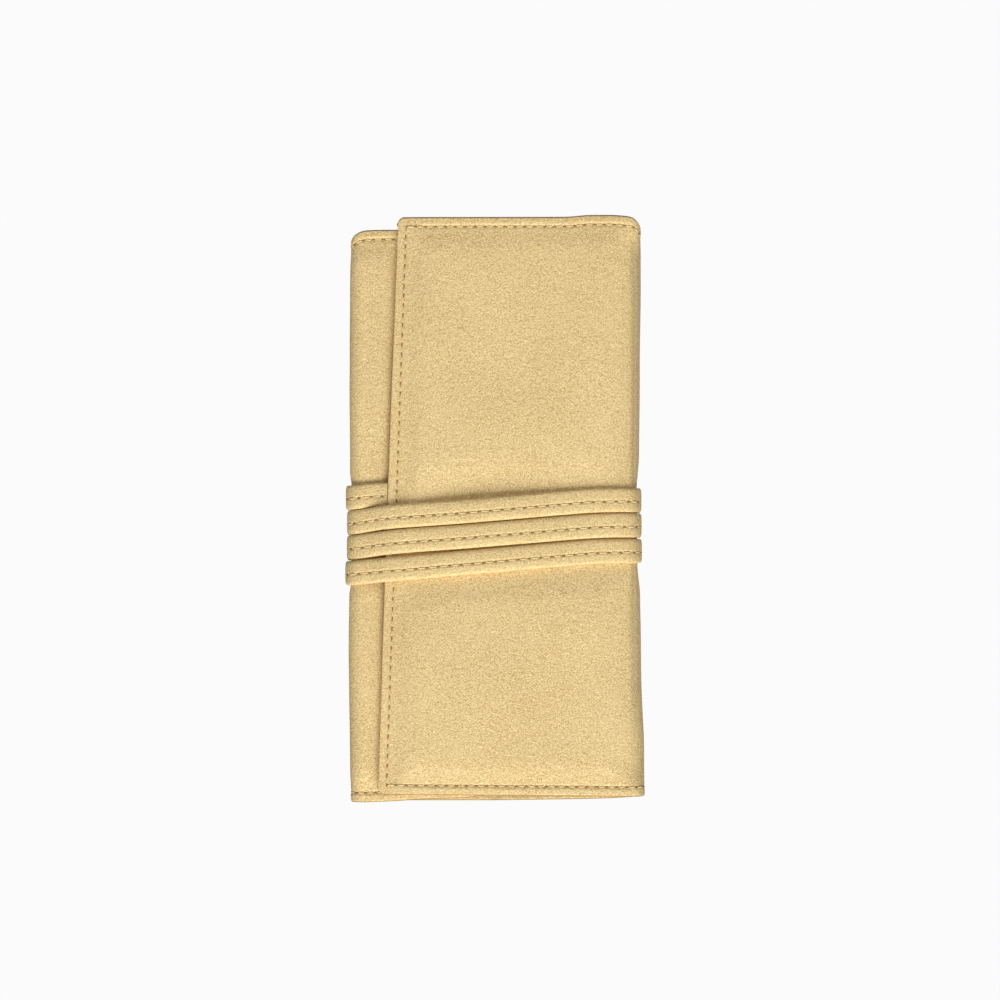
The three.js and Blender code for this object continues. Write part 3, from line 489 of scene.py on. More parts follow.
def add_piece(name, points, faces, finish, flat_edges=(), marks=None):
    """One smooth-shaded mesh object at the origin; points in mm. Edges whose two ends are both in
    one of the flat_edges sets stay sharp. marks are numbers per point that its finish reads."""
    mesh = bpy.data.meshes.new(name)
    mesh.from_pydata((np.asarray(points) * MM).tolist(), [], faces)
    mesh.polygons.foreach_set("use_smooth", np.ones(len(mesh.polygons), bool))
    if len(flat_edges):
        ends = np.zeros(len(mesh.edges) * 2, int)
        mesh.edges.foreach_get("vertices", ends)
        sharp = np.zeros(len(mesh.edges), bool)
        for group in flat_edges:
            sharp |= np.isin(ends.reshape(-1, 2), group).all(axis=1)
        mesh.attributes.new("sharp_edge", "BOOLEAN", "EDGE").data.foreach_set("value", sharp)
    for key, values in (marks or {}).items():
        mesh.attributes.new(key, "FLOAT", "POINT").data.foreach_set("value", np.asarray(values, np.float32))
    mesh.materials.append(finish)
    mesh.update()
    piece = bpy.data.objects.new(name, mesh)
    scene.collection.objects.link(piece)
    return piece


def sheet_piece(name, outer, finish, cut=(1, 1, 1, 1), turned=False, thickness=0.0, inner=None):
    """A sheet of leather or cloth. Its outer face is a grid; the inner face is the grid moved in
    by the thickness along its normals, or a grid of its own. Each of its four borders, in the
    order first and last column, first and last row, is a half round where it is cut, and a flat
    face where the sheet goes on in the next piece."""
    along_u = unit(np.gradient(outer, axis=0))
    along_v = unit(np.gradient(outer, axis=1))
    normals = unit(np.cross(along_u, along_v)) * (-1.0 if turned else 1.0)
    if inner is None:
        inner = outer - normals * thickness
    columns, rows = outer.shape[:2]
    total = columns * rows
    number = np.arange(total).reshape(columns, rows)
    out = np.zeros_like(outer)
    bare = np.zeros((columns, rows))
    seams = []
    sides = (np.s_[0], np.s_[-1], np.s_[:, 0], np.s_[:, -1])
    for side, travel, is_cut in zip(sides, (-along_u, along_u, -along_v, along_v), cut):
        out[side] += travel[side] * is_cut
        bare[side] += is_cut
        if not is_cut:
            seams += [number[side], number[side] + total]
    out = unit(out) * (np.linalg.norm(out, axis=-1, keepdims=True) > 0.1)
    bare = np.clip(bare, 0, 1).reshape(-1)
    border = np.concatenate([number[:, 0], number[-1, 1:], number[-2::-1, -1], number[0, -2:0:-1]])
    flat_outer, flat_inner, flat_out = (grid.reshape(-1, 3)[border] for grid in (outer, inner, out))
    arm = (flat_outer - flat_inner) / 2
    swung = flat_out * np.linalg.norm(arm, axis=-1, keepdims=True)
    middle = (flat_outer + flat_inner) / 2
    rims = [middle + arm * np.cos(turn) + swung * np.sin(turn) for turn in np.radians([45, 90, 135])]
    points = np.concatenate([outer.reshape(-1, 3), inner.reshape(-1, 3), *rims])
    a, b, c, d = number[:-1, :-1], number[1:, :-1], number[1:, 1:], number[:-1, 1:]
    front = np.stack([a, b, c, d], axis=-1).reshape(-1, 4)
    back = np.stack([a, d, c, b], axis=-1).reshape(-1, 4) + total
    loops = [border, *(2 * total + np.arange(3 * len(border)).reshape(3, -1)), border + total]
    rings = [
        np.stack([np.roll(upper, -1), upper, lower, np.roll(lower, -1)], axis=-1)
        for upper, lower in zip(loops[:-1], loops[1:])
    ]
    faces = np.concatenate([front, back, *rings])
    if turned:
        faces = faces[:, ::-1]
    marks = {"cut_edge": np.concatenate([bare * 0.5, bare * 0.5, np.tile(bare[border], 3)])}
    return add_piece(name, points, faces.tolist(), finish, seams, marks)


def gold_leather_finish(name, light, dark, grain):
    """Pebbled metallic hide: small rounded grains with painted shade in the valleys between them,
    fine specks of brighter foil, slow shifts of tone, and a duller, browner line along the cut edges."""
    material, tone, place = new_finish(name)
    warp = tone.add("ShaderNodeTexNoise", {"Vector": place, "Scale": 900.0}, "Color")
    bent = tone.add("ShaderNodeVectorMath", {0: warp, "Scale": 0.0009}, operation="SCALE")
    near = tone.add("ShaderNodeVectorMath", {0: place, 1: bent}, operation="ADD")
    pebbles = near.cells(grain, 0.55)
    big = near.cells(grain * 0.4, 0.8)
    speck = place.noise(3400.0, 3.0)
    blotch = place.noise(1350.0, 4.0)
    # The valleys between the pebbles are painted darker: painted shade in the grain's hollows, on top of the
    # bump.
    shaded_valleys = pebbles.above(0.5, 0.5)
    foil = speck.above(0.62, 0.1)
    shade = 0.6 * shaded_valleys + 0.95 * blotch + 0.3 * place.noise(38.0, 3.0) - 0.5 * foil - 0.53
    skin = tone.math("MULTIPLY", shade, 1.0, clamp=True).mix(light, dark)
    edge = tone.add("ShaderNodeAttribute", {}, "Fac", attribute_name="cut_edge")
    painted = edge.above(0.75, 0.4).mix(skin, colour(176, 142, 92))
    height = 0.22 * speck + 0.25 * blotch - 0.7 * big - 0.9 * pebbles
    rough = 0.44 - 0.12 * foil + 0.12 * shaded_valleys + 0.16 * blotch
    more = {"Metallic": 0.05 + 0.5 * foil, "Specular IOR Level": 0.12}
    tone.finish(painted, rough, height, 0.6, 0.0003, more)
    return material


gold_leather = gold_leather_finish("gold_leather", colour(255, 228, 170), colour(204, 168, 103), 2100.0)


def tip_columns(start, end, fine, fine_step, step):
    """Columns from a fold to a tip: finer just past the fold and round the tip's seam."""
    flat = grid_lines([start, start + fine, end - 19], [fine_step, step])
    return np.concatenate([flat, (end - rim_lines)[::-1]])


back_columns = grid_lines([0, fold_start, right_strip_low], [3.2, 0.9])[:-1]
hide_columns = {
    "back_right": [back_columns, grid_lines([right_strip_low, right_meeting], [1.2])],
    "cover": [
        grid_lines([right_meeting, right_strip_high, cover_start], [1.2, 0.8])[:-1],
        tip_columns(cover_start, cover_end, 14, 1.6, 2.6),
    ],
    "back_left": [back_columns, grid_lines([right_strip_low, left_meeting], [1.2])],
    "inner": [
        grid_lines([left_meeting, left_strip_high, inner_start], [1.2, 0.8])[:-1],
        tip_columns(inner_start, inner_end, 16, 0.9, 2.4),
    ],
}

# Each quarter of the roll runs from one body to the next over a crease, given by its x and z.
quarters = {
    "back_right": ("back", "right_spine", (fold_start, 0), (half_width, fold_radius)),
    "cover": ("right_spine", "cover_flap", (half_width, cover_top - fold_radius), (fold_start, cover_top)),
    "back_left": ("back", "left_spine", (-fold_start, 0), (-half_width, fold_radius)),
    "inner": ("left_spine", "inner_panel", (-half_width, inner_top - fold_radius), (-fold_start, inner_top)),
}


def bend_over(piece, quarter_word):
    """Bakes the piece's placement into its mesh. quarter_word is not used."""
    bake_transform(piece)


def clad(piece, slot, *nodes):
    """Hides these solids, which the piece stands for. slot is not used."""
    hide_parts(*nodes)


def quarter_sheet(start, word, points, thickness, finish, slot, solid):
    """One quarter of the hide or of the lining, standing for its panel's and its strip's solids."""
    is_tip = word in ("cover", "inner")
    turned = word in ("back_right", "cover")
    piece = sheet_piece(start + word, points, finish, (0, int(is_tip), 1, 1), turned, thickness)
    bend_over(piece, word)
    first, second = quarters[word][:2]
    panel, strip = (second, first) if is_tip else (first, second)
    clad(piece, slot, solid + panel, solid + strip)


for word, columns in hide_columns.items():
    skin = right_skin if word in ("back_right", "cover") else left_skin
    hide_grid = grid_of(skin, np.concatenate(columns), row_lines)
    quarter_sheet("hide_", word, hide_grid, hide_thickness, gold_leather, "gold_leather", "shell_")

# Edge stitching: one row of thick gold-beige thread near every cut edge, through hide and lining.
# Each stitch is a separate short bar of twisted thread that dips into the leather at both ends.
stitch_pitch = 3.6
stitch_length = 2.4
thread_radius = 0.3
hole_sides = 8
bar_rings = 6


def thread_finish():
    """Waxed thread, close to the hide's colour, with fine slanting twist lines."""
    material, tone, place = new_finish("gold_thread")
    slant = tone.add("ShaderNodeMapping", {"Vector": place, "Rotation": (0.3, 0.9, 0.6)})
    twist = slant.waves("DIAGONAL", 900.0, 1.2)
    wear = place.noise(500.0)
    shade = (0.5 * twist + 0.5 * wear).mix(colour(250, 224, 170), colour(226, 194, 138))
    tone.finish(shade, 0.5 + 0.2 * wear, twist, 0.5, 0.00008, {"Specular IOR Level": 0.2})
    return material


def hole_shade_finish():
    """Painted shade for a needle hole: dark brown, mottled at random with a lighter brown."""
    material, tone, place = new_finish("painted_hole_shade")
    # Painted shade: dark browns that stand for the shadow inside a needle hole, mottled at random.
    shade = place.noise(3000.0).mix(colour(130, 98, 50), colour(176, 144, 92))
    surface = tone.add("ShaderNodeBsdfPrincipled", {"Base Color": shade, "Roughness": 0.9})
    tone.add("ShaderNodeOutputMaterial", {"Surface": surface})
    return material


gold_thread = thread_finish()
painted_hole_shade = hole_shade_finish()


def tube_walls(number):
    """The walls of a tube of rings. number holds the points' numbers, one row for each ring."""
    following = np.roll(number, -1, axis=1)
    return np.stack([number[:-1], following[:-1], following[1:], number[1:]], axis=-1).reshape(-1, 4)


def set_out(row, shape_l, shape_a, shape_h):
    """A small shape's points at every place of a row: along it, across it and out of the leather."""
    places, along, upward = (part[:, None] for part in row)
    across = np.cross(upward, along)
    points = places + along * shape_l[:, None] + across * shape_a[:, None] + upward * shape_h[:, None]
    return points.reshape(-1, 3)


def stitch_piece(name, seam, length=stitch_length, radius=thread_radius, pitch=stitch_pitch):
    """Stitches as rounded bars: rings of six points carried along each bar, narrow and low at its
    two ends and full at its middle. Between one bar and the next lies a needle hole, a small shallow
    hollow in painted shade, drawn out along the seam. The seam holds the bars' rows and the holes'
    rows: places, the seam's direction and the direction that looks out of the leather."""
    share = np.array([-0.5, -0.44, -0.24, 0.24, 0.44, 0.5])
    girth = np.array([0.3, 0.78, 1.0, 1.0, 0.78, 0.3]) * radius
    height = np.array([-0.75, -0.25, 0.1, 0.1, -0.25, -0.75]) * radius
    sides = np.arange(6) * np.pi / 3
    ring_a = girth[:, None] * np.cos(sides)
    ring_h = girth[:, None] * np.sin(sides) * 0.85 + height[:, None]
    bars = set_out(seam[0], np.repeat(share * length, 6), ring_a.reshape(-1), ring_h.reshape(-1))
    ring = np.arange(bar_rings * 6).reshape(bar_rings, 6)
    starts = np.arange(len(seam[0][0]))[:, None] * ring.size
    quads = (tube_walls(ring)[None, :, [0, 3, 2, 1]] + starts[:, None]).reshape(-1, 4).tolist()
    caps = (ring[0] + starts).tolist() + (ring[-1][::-1] + starts).tolist()
    # The needle holes: shallow fans finished in painted shade, where the real holes only hold shadow.
    corner = np.arange(hole_sides) * 2 * np.pi / hole_sides
    hole_l = np.append(np.cos(corner) * (pitch - length) * 0.65, 0)
    hole_a = np.append(np.sin(corner), 0) * radius
    hole_h = np.append(np.full(hole_sides, 0.34), 0.1) * radius
    holes = set_out(seam[1], hole_l, hole_a, hole_h)
    spoke = np.arange(hole_sides)
    fan = np.stack([spoke, np.roll(spoke, -1), np.full(hole_sides, hole_sides)], axis=-1)
    first = len(bars) + np.arange(len(seam[1][0])) * (hole_sides + 1)
    hole_shade_fans = (fan[None] + first[:, None, None]).reshape(-1, 3).tolist()
    piece = add_piece(name, np.concatenate([bars, holes]), quads + caps + hole_shade_fans, gold_thread)
    piece.data.materials.append(painted_hole_shade)
    finishes = np.repeat([0, 1], [len(quads) + len(caps), len(hole_shade_fans)])
    piece.data.polygons.foreach_set("material_index", finishes)
    return piece


def lengths_along(line):
    """How far along a line of points each one lies."""
    return np.concatenate([[0], np.cumsum(np.linalg.norm(np.diff(line, axis=0), axis=1))])


def points_at(at, length, line):
    """The points at these lengths along a line."""
    return np.stack([np.interp(at, length, column) for column in line.T], axis=1)


def even_rows(row, length, pitch, from_start=True):
    """A row at even places along a length, for the stitches, and one halfway between them, for the
    holes, with or without a hole at the start."""
    count = max(1, int(length / pitch))
    steps = np.arange(count) * length / count
    return row(steps + length / count / 2), row(steps if from_start else steps[1:])


def seam_on(skin, u, v, side, lift=0.08, reach=0.4):
    """A seam along a line on a skin: its stitches' and its holes' places, each with the seam's
    direction and the skin's outward normal."""
    u, v = np.broadcast_arrays(np.asarray(u, float), np.asarray(v, float))
    length = lengths_along(skin(u, v))

    def row(at):
        at_u, at_v = np.interp(at, length, u), np.interp(at, length, v)
        ahead = skin(np.interp(at + reach, length, u), np.interp(at + reach, length, v))
        along = unit(ahead - skin(np.interp(at - reach, length, u), np.interp(at - reach, length, v)))
        step_u = skin(at_u + reach, at_v) - skin(at_u - reach, at_v)
        step_v = skin(at_u, at_v + reach) - skin(at_u, at_v - reach)
        upward = unit(np.cross(step_u, step_v)) * side
        upward = unit(upward - along * np.sum(upward * along, axis=-1, keepdims=True))
        return skin(at_u, at_v) + upward * lift, along, upward

    return even_rows(row, length[-1], stitch_pitch)


def edge_stitches(word, skin, side, start, end, has_tip):
    """The rows along a quarter's two ends, between two places on the section, and along its tip."""
    low_seam = row_low_y + seam_inset
    high_seam = row_high_y - seam_inset
    line = np.linspace(end, start, 400)
    seams = [seam_on(skin, line, low_seam, side), seam_on(skin, line, high_seam, side)]
    if has_tip:
        seams.append(seam_on(skin, end, np.linspace(low_seam, high_seam, 700), side))
    together = [[np.concatenate(column) for column in zip(*rows)] for rows in zip(*seams)]
    bend_over(stitch_piece("stitches_" + word, together), word)


edge_stitches("back_right", right_skin, -1, 0, right_meeting, False)
edge_stitches("cover", right_skin, -1, right_meeting, cover_end - seam_inset, True)
edge_stitches("back_left", left_skin, 1, 0, left_meeting, False)
edge_stitches("inner", left_skin, 1, left_meeting, inner_end - seam_inset, True)

# Wrapping strap: one long strap of the same hide, doubled over and sewn along one line, with its root
# sewn into the cover's free edge. It goes left round the roll three times, and its tail lies behind,
# under the last turn. It is drawn in runs that end behind, at the free edge and on the side strips.
strap_width = 8.95
strap_thickness = 1.6
strap_fuller = 0.8
strap_clear = 0.05
strap_stitch_pitch = 4.2
strap_stitch_length = 3.0
strap_thread_radius = 0.34
strap_seam_offset = -0.5
strap_groove = 0.24
station_step = 0.4
blur_stations = 8
bend_blur = 0.9
looser_by = 0.45
root_slope = 7
bridge_length = 2.0
tail_end_x = -4.85
turns = 3

# The runs' middle lines: y at places x across the roll.
front_runs = [
    eased(
        [-56, -54, -39.5, -13.3, 23.6, 36, 48.3, 54, 56],
        [-5.5, -5.35, -2.84, -1.0, 2.2, 3.2, 3.4, 3.0, 3.0],
        3,
    ),
    eased(
        [-56, -54, -40, -27, -13.3, 23.6, 34.7, 45.8, 54],
        [-14.7, -14.6, -12.3, -11.2, -10.3, -7.2, -6.3, -5.9, -6.2],
        3,
    ),
    eased(
        [-56, -54, -40.7, -31.6, -20.8, 23.6, 36, 48.3, 54],
        [-24, -23.85, -22.4, -21.7, -20.6, -16.7, -15.7, -15.4, -15.6],
        3,
    ),
]
root_run = eased([-56, -54, -48, -44, -39.7], [3.9, 3.95, 4.9, 5.2, 5.3], 2)
back_run_ends = [(3.95, 3.0), (-5.35, -6.2), (-14.6, -15.6), (-23.85, -26.1)]
back_runs = [eased([-54, 54], ends, 3) for ends in back_run_ends]


def taut_line(x, z):
    """The upper hull of a profile: the way that a taut strap takes over it, from right to left."""
    hull = []
    for point in zip(x, z):
        while len(hull) > 1:
            (ax, az), (bx, bz) = hull[-2], hull[-1]
            if (bx - ax) * (point[1] - az) - (bz - az) * (point[0] - ax) > 1e-9:
                break
            hull.pop()
        hull.append(point)
    return np.array(hull).T


def profile_under(skin, u, run):
    """Points of a skin under a run of the strap: x, y and z along the section."""
    x = skin(u, np.full_like(u, -6.0))[:, 0]
    for _ in range(2):
        points = skin(u, run(x))
        x = points[:, 0]
    return points


def front_path(run):
    """Under a front run: up the right strip, over the cover and its free edge, down the left."""
    rise = profile_under(right_skin, np.arange(right_meeting, cover_start - 4, 0.5), run)
    cover = profile_under(right_skin, np.arange(cover_start - 4, cover_end + 0.01, 0.25), run)
    fall = profile_under(left_skin, np.arange(left_meeting, inner_start + 14, 0.5), run)[::-1]
    fall = fall[fall[:, 0] < cover[-1, 0] - 1]
    is_flat = fall[:, 2] > inner_top - fold_radius
    across = np.concatenate([cover, fall[is_flat]])
    hull_x, hull_z = taut_line(across[:, 0], across[:, 2])
    span = np.arange(hull_x[0], hull_x[-1], -0.25)
    over = np.stack([span, run(span), np.interp(-span, -hull_x, hull_z)], axis=1)
    return np.concatenate([rise[:-1], over, fall[~is_flat]])


def back_path(run, end_x):
    """Under a back run: down the left strip, behind the roll to a place or up the right strip."""
    left = profile_under(left_skin, np.arange(left_meeting, 0.01, -0.5), run)
    right = profile_under(right_skin, np.arange(0.5, right_meeting, 0.5), run)
    whole = np.concatenate([left, right])
    return whole[: int(np.argmax(whole[:, 0] > end_x))] if end_x < 0 else whole


def root_path():
    """Under the root: from between the free edge's leathers down to the inner panel and round."""
    fall = profile_under(left_skin, np.arange(left_meeting, inner_start + 12, 0.5), root_run)[::-1]
    edge_x = free_edge_x(root_run(-39.7)) - hide_thickness / 2 - strap_clear
    fall = fall[fall[:, 0] < edge_x - root_slope]
    x = np.linspace(edge_x, edge_x - root_slope, 15)
    higher = inner_top + strap_clear - fall[0, 2]
    z = fall[0, 2] + higher * (1 - smooth((edge_x - x) / root_slope))
    return np.concatenate([np.stack([x, root_run(x), z], axis=1)[:-1], fall])


strap_parts = [root_path()]
for back_run, front_run in zip(back_runs, front_runs):
    strap_parts += [back_path(back_run, half_width), front_path(front_run)]
strap_parts.append(back_path(back_runs[turns], tail_end_x))
rough_path = np.concatenate(strap_parts)
rough_length = lengths_along(rough_path)
even_length = np.arange(0, rough_length[-1], station_step)
even_path = points_at(even_length, rough_length, rough_path)
blur_steps = np.arange(-blur_stations, blur_stations + 1)
blur = np.exp(-0.5 * (blur_steps * station_step / bend_blur) ** 2)
held_path = np.pad(even_path, ((blur_stations, blur_stations), (0, 0)), mode="edge")
blurred_columns = [np.convolve(column, blur / blur.sum(), mode="valid") for column in held_path.T]
strap_path = np.stack(blurred_columns, axis=1)
strap_x, strap_y, strap_z = strap_path.T
strap_travel = np.gradient(strap_path[:, [0, 2]], axis=0)
strap_travel /= np.linalg.norm(strap_travel, axis=1, keepdims=True)
strap_outward = np.stack([-strap_travel[:, 1], np.zeros(len(strap_path)), strap_travel[:, 0]], axis=1)
strap_outward *= np.sign(np.sum(strap_outward * (strap_path - [0, 0, 10]), axis=1, keepdims=True))
looser = smooth((strap_y + 1) / 3) + smooth((-19 - strap_y) / 3)
strap_slack = looser_by * looser * smooth((-strap_x - 45) / 7)
fuller_share = 0.25 + 0.95 * bell(strap_x - hollow_x, 28)
strap_half = (strap_thickness + strap_fuller * fuller_share * smooth((strap_z - 11) / 7)) / 2
strap_middle = strap_path + strap_outward * (strap_clear + strap_half + strap_slack)[:, None]


def strap_at(at):
    """The strap's middle line, its outward direction and half its thickness at these lengths from
    the root."""
    outward = unit(points_at(at, even_length, strap_outward))
    return points_at(at, even_length, strap_middle), outward, np.interp(at, even_length, strap_half)


def strap_profile():
    """The strap's section: rounded sides, and a groove in its face with points of its own."""
    groove_points = strap_seam_offset + np.array([-1.0, -0.6, -0.3, 0, 0.3, 0.6, 1.0])
    across = np.cos(np.linspace(0, np.pi, 19)) * strap_width / 2
    across = np.sort(np.concatenate([across, groove_points]))[::-1]
    share = np.abs(across) / (strap_width / 2)
    half = strap_thickness / 2 * np.clip(1 - share**8, 0, 1) ** 0.5
    groove = strap_groove * bell(across - strap_seam_offset, 0.45)
    outer = np.stack([across, half - groove + 0.08 * (1 - share**2)], axis=1)
    inner = np.stack([across[::-1], -half[::-1]], axis=1)[1:-1]
    return np.concatenate([outer, inner])


strap_ring = strap_profile()


def tube_faces(number, reverse=False):
    """A tube of rings with its walls and two end caps; reverse turns its faces round."""
    faces = tube_walls(number).tolist() + [number[0][::-1].tolist(), number[-1].tolist()]
    return [[face[0], *face[:0:-1]] for face in faces] if reverse else faces


def strap_piece(name, start, end, finish, rounded_end):
    """A length of the strap: the section carried along the middle line, always square to the
    roll's length, with flat ends where the strap goes on in the next piece."""
    stations = np.linspace(start, end, max(2, int((end - start) / 1.5)))
    narrowing = 1.0
    if rounded_end:
        stations = np.sort(np.concatenate([stations, end - np.array([0.1, 0.4, 0.9, 1.6, 2.4])]))
        narrowing = np.sqrt(np.clip(1 - (np.clip(stations - end + 3, 0, 3) / 3.15) ** 2, 0.02, 1))
    middle, outward, half = strap_at(stations)
    narrowing = (np.ones(len(stations)) * narrowing)[:, None, None]
    across = strap_ring[None, :, 0, None] * narrowing * np.array([0, 1, 0])
    height = strap_ring[None, :, 1, None] * half[:, None, None] / (strap_thickness / 2)
    points = middle[:, None] + across + outward[:, None] * height
    number = np.arange(len(stations) * len(strap_ring)).reshape(len(stations), -1)
    faces = tube_faces(number)
    flat = points.reshape(-1, 3)
    p, q, r = (flat[tube_walls(number)[:, k]] - flat.mean(axis=0) for k in (0, 1, 2))
    if np.sum(np.cross(p, q) * r) < 0:
        faces = [face[::-1] for face in faces]
    return add_piece(name, flat, faces, finish, [number[0], number[-1]])


def strap_row(at):
    """Places in the strap's groove at these lengths, with the seam's and the outward direction."""
    middle, outward, half = strap_at(at)
    along = unit(strap_at(at + 0.6)[0] - strap_at(at - 0.6)[0])
    places = middle + outward * (half - 0.15)[:, None] + np.array([0, strap_seam_offset, 0])
    return places, along, outward


def strap_stitches(name, start, end):
    """The stitches of one length of the strap, at even steps from the root."""
    half_pitch = strap_stitch_pitch / 2
    steps = np.arange(int(np.ceil(start / half_pitch)), int(end / half_pitch) + 1)
    rows = [strap_row(steps[steps % 2 == odd] * half_pitch) for odd in (0, 1)]
    return stitch_piece(name, rows, strap_stitch_length, strap_thread_radius, strap_stitch_pitch)


strap_leather = gold_leather_finish("strap_leather", colour(255, 228, 170), colour(206, 170, 105), 2300.0)


def crossings(values, level):
    """Lengths along the strap at which a value passes a level."""
    below = values < level
    hits = np.nonzero(below[1:] != below[:-1])[0]
    share = (level - values[hits]) / (values[hits + 1] - values[hits])
    return even_length[hits] + share * station_step


meets_left = crossings(strap_z, inner_top / 2)
meets_left = meets_left[np.interp(meets_left, even_length, strap_x) < 0]
meets_right = crossings(strap_z, cover_top / 2)
meets_right = meets_right[np.interp(meets_right, even_length, strap_x) > 0]
passes_middle = crossings(strap_x, 0.0)
behind_middle = passes_middle[np.interp(passes_middle, even_length, strap_z) < 5]

spans = [("strap_root", 0.0, meets_left[0], "inner")]
for number, front_run in enumerate(front_runs):
    word = str(number + 1)
    edge_hits = crossings(strap_x, free_edge_x(front_run(-41)) - hide_thickness - bridge_length)
    edge_at = edge_hits[edge_hits > meets_right[number]][0]
    spans += [
        ("strap_back_left_" + word, meets_left[number], behind_middle[number], "back_left"),
        ("strap_back_right_" + word, behind_middle[number], meets_right[number], "back_right"),
        ("strap_front_" + word, meets_right[number], edge_at, "cover"),
        ("strap_turn_" + word, edge_at, meets_left[number + 1], "inner"),
    ]
spans.append(("strap_back_left_4", meets_left[turns], even_length[-1], "back_left"))

for name, start, end, word in spans:
    is_tail = end == even_length[-1]
    run_piece = strap_piece(name, start, end, strap_leather, is_tail)
    bend_over(run_piece, word)
    clad(run_piece, "strap_leather", "wrap_strap")
    bend_over(strap_stitches("stitches_" + name, start, end - (3 if is_tail else 0)), word)

# Foam wadding: a thin sheet of soft foam in each panel and side strip, cut short of the seams and
# thinned towards its borders. It lies loose between the hide and the lining, which hold it.
wadding_margin = 9.5
wadding_slack = 0.06
thinnest_wadding = 0.1
lining_face = 3.1
cover_lining_face = 18.9
cover_lining_edge = 18.7
inner_lining_face = 14.0
side_lining_face = 50.8


def foam_finish():
    """Pale open foam: fine round pores in two sizes, slightly yellowed in slow patches."""
    material, tone, place = new_finish("foam_wadding")
    pores = tone.add("ShaderNodeTexVoronoi", {"Vector": place, "Scale": 1500.0})
    shade = (0.5 * pores + 0.5 * place.noise(60.0, 4.0)).mix(colour(226, 218, 196), colour(244, 240, 228))
    tone.finish(shade, 0.88 + 0.1 * pores, pores, 0.6, 0.0003, {})
    return material


foam_wadding = foam_finish()


def cover_lining_height(x):
    """The cover lining's face to the wadding: level, with a dip towards the free edge."""
    return cover_lining_face + (cover_lining_edge - cover_lining_face) * smooth((-19.9 - x) / 12)


def over_cover_lining(places):
    """The level of the cover lining's face at these places."""
    return cover_lining_height(places[..., 0])


def flat_at(level):
    """The same level at all places."""
    return lambda places: np.full(places.shape[:-1], level)


def wadding_piece(word, outer, inner, body, turned):
    """A padded piece of foam between two grids, riding on a body."""
    pad = sheet_piece("wadding_" + word, outer, foam_wadding, turned=turned, inner=inner)
    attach(pad, body)
    return pad


def filled_gap(word, skin, u, v, axis, level, body):
    """A pad between the hide's inner face and a lining's face: the skin moved in by the hide on one
    side, and the lining's level on the other, never thinner than the thinnest wadding."""
    outer = grid_of(skin, u, v)
    way = np.sign(np.mean(outer[..., axis]) - np.mean(level(outer)))
    outer[..., axis] -= way * (hide_thickness + wadding_slack)
    inner = outer.copy()
    face = level(outer) + way * wadding_slack
    inner[..., axis] = face
    outer[..., axis] = face + way * np.maximum((outer[..., axis] - face) * way, thinnest_wadding)
    pad = wadding_piece(word, outer, inner, body, skin is right_skin)
    clad(pad, "foam_wadding", "pad_" + body)


pad_low = row_low_y + wadding_margin
pad_high = row_high_y - wadding_margin
pad_rows = grid_lines([pad_low, row_low_y + 22, row_high_y - 22, pad_high], [1.2, 4.5, 1.2])
for word, skin, start, end, body, level in (
    ("cover", right_skin, cover_start, cover_end, "cover_flap", over_cover_lining),
    ("inner", left_skin, inner_start, inner_end, "inner_panel", flat_at(inner_lining_face)),
):
    pad_columns = grid_lines([start + 0.6, end - 16, end - wadding_margin], [4, 1.2])
    filled_gap(word, skin, pad_columns, pad_rows, 2, level, body)
back_pad_half = np.linspace(0.0, fold_start - 0.6, 13)
for word, low, high in (("back_lower", pad_low, -40.0), ("back_upper", 19.0, pad_high)):
    rows = np.linspace(low, high, 24)
    left_half = grid_of(left_skin, back_pad_half[:0:-1], rows)
    outer = np.concatenate([left_half, grid_of(right_skin, back_pad_half, rows)])
    inner = outer.copy()
    inner[..., 2] = lining_face - wadding_slack
    moved_in = outer[..., 2] + hide_thickness + wadding_slack
    outer[..., 2] = np.minimum(moved_in, lining_face - wadding_slack - thinnest_wadding)
    pad = wadding_piece(word, outer, inner, "back", True)
    clad(pad, "foam_wadding", "pad_" + word)
for word, skin, end, face in (
    ("right", right_skin, right_strip_high, side_lining_face),
    ("left", left_skin, left_strip_high, -side_lining_face),
):
    pad_columns = np.linspace(right_strip_low + 0.5, end - 0.5, 7)
    filled_gap(word + "_strip", skin, pad_columns, pad_rows, 0, flat_at(face), word + "_spine")

# Linings: beige suede in one sheet like the hide, cut a little smaller and sewn to it all round.
# They are drawn in the same four pieces, which span the same folds on the inside.
lining_thickness = 0.5
lining_corner = 2.4
lining_inset = 2.9
fold_tuck = 0.6
lining_margin = lining_inset - hide_thickness / 2
lining_side_gap = half_width - rim_sink_side - hide_thickness - side_lining_face - 0.15
lining_top_gap = cover_top - rim_sink_top - hide_thickness - cover_lining_face - 0.2


def suede_finish(name, light, dark):
    """Brushed suede: a soft nap of fine fibres in slow light and dark strokes."""
    material, tone, place = new_finish(name)
    stroke = tone.add("ShaderNodeMapping", {"Vector": place, "Scale": (1.0, 0.35, 1.0)})
    nap = stroke.noise(90.0, 5.0, 0.62)
    fibres = place.noise(2400.0, 3.0)
    shade = (1.1 * nap + 0.5 * fibres - 0.3).mix(dark, light)
    more = {"Sheen Weight": 0.35, "Sheen Roughness": 0.5}
    tone.finish(shade, 0.82 + 0.15 * fibres, fibres, 0.5, 0.00025, more)
    return material


suede_lining = suede_finish("suede_lining", colour(214, 198, 170), colour(186, 168, 138))
lining_turn = lining_corner * np.pi / 2
lining_start = side_lining_face - lining_corner


def lining_side(face, strip_high, panel_start):
    """One side's lining: its section, the stops along it, where it meets the next piece and the
    same stops on the hide."""
    path = section(face, lining_corner, side_lining_face, lining_face)
    stops = np.cumsum([0, lining_start, lining_turn, face - lining_face - 2 * lining_corner, lining_turn])
    hide_stops = np.array([0, fold_start, right_strip_low, strip_high, panel_start])
    return path, stops, (stops[2] + stops[3]) / 2, hide_stops


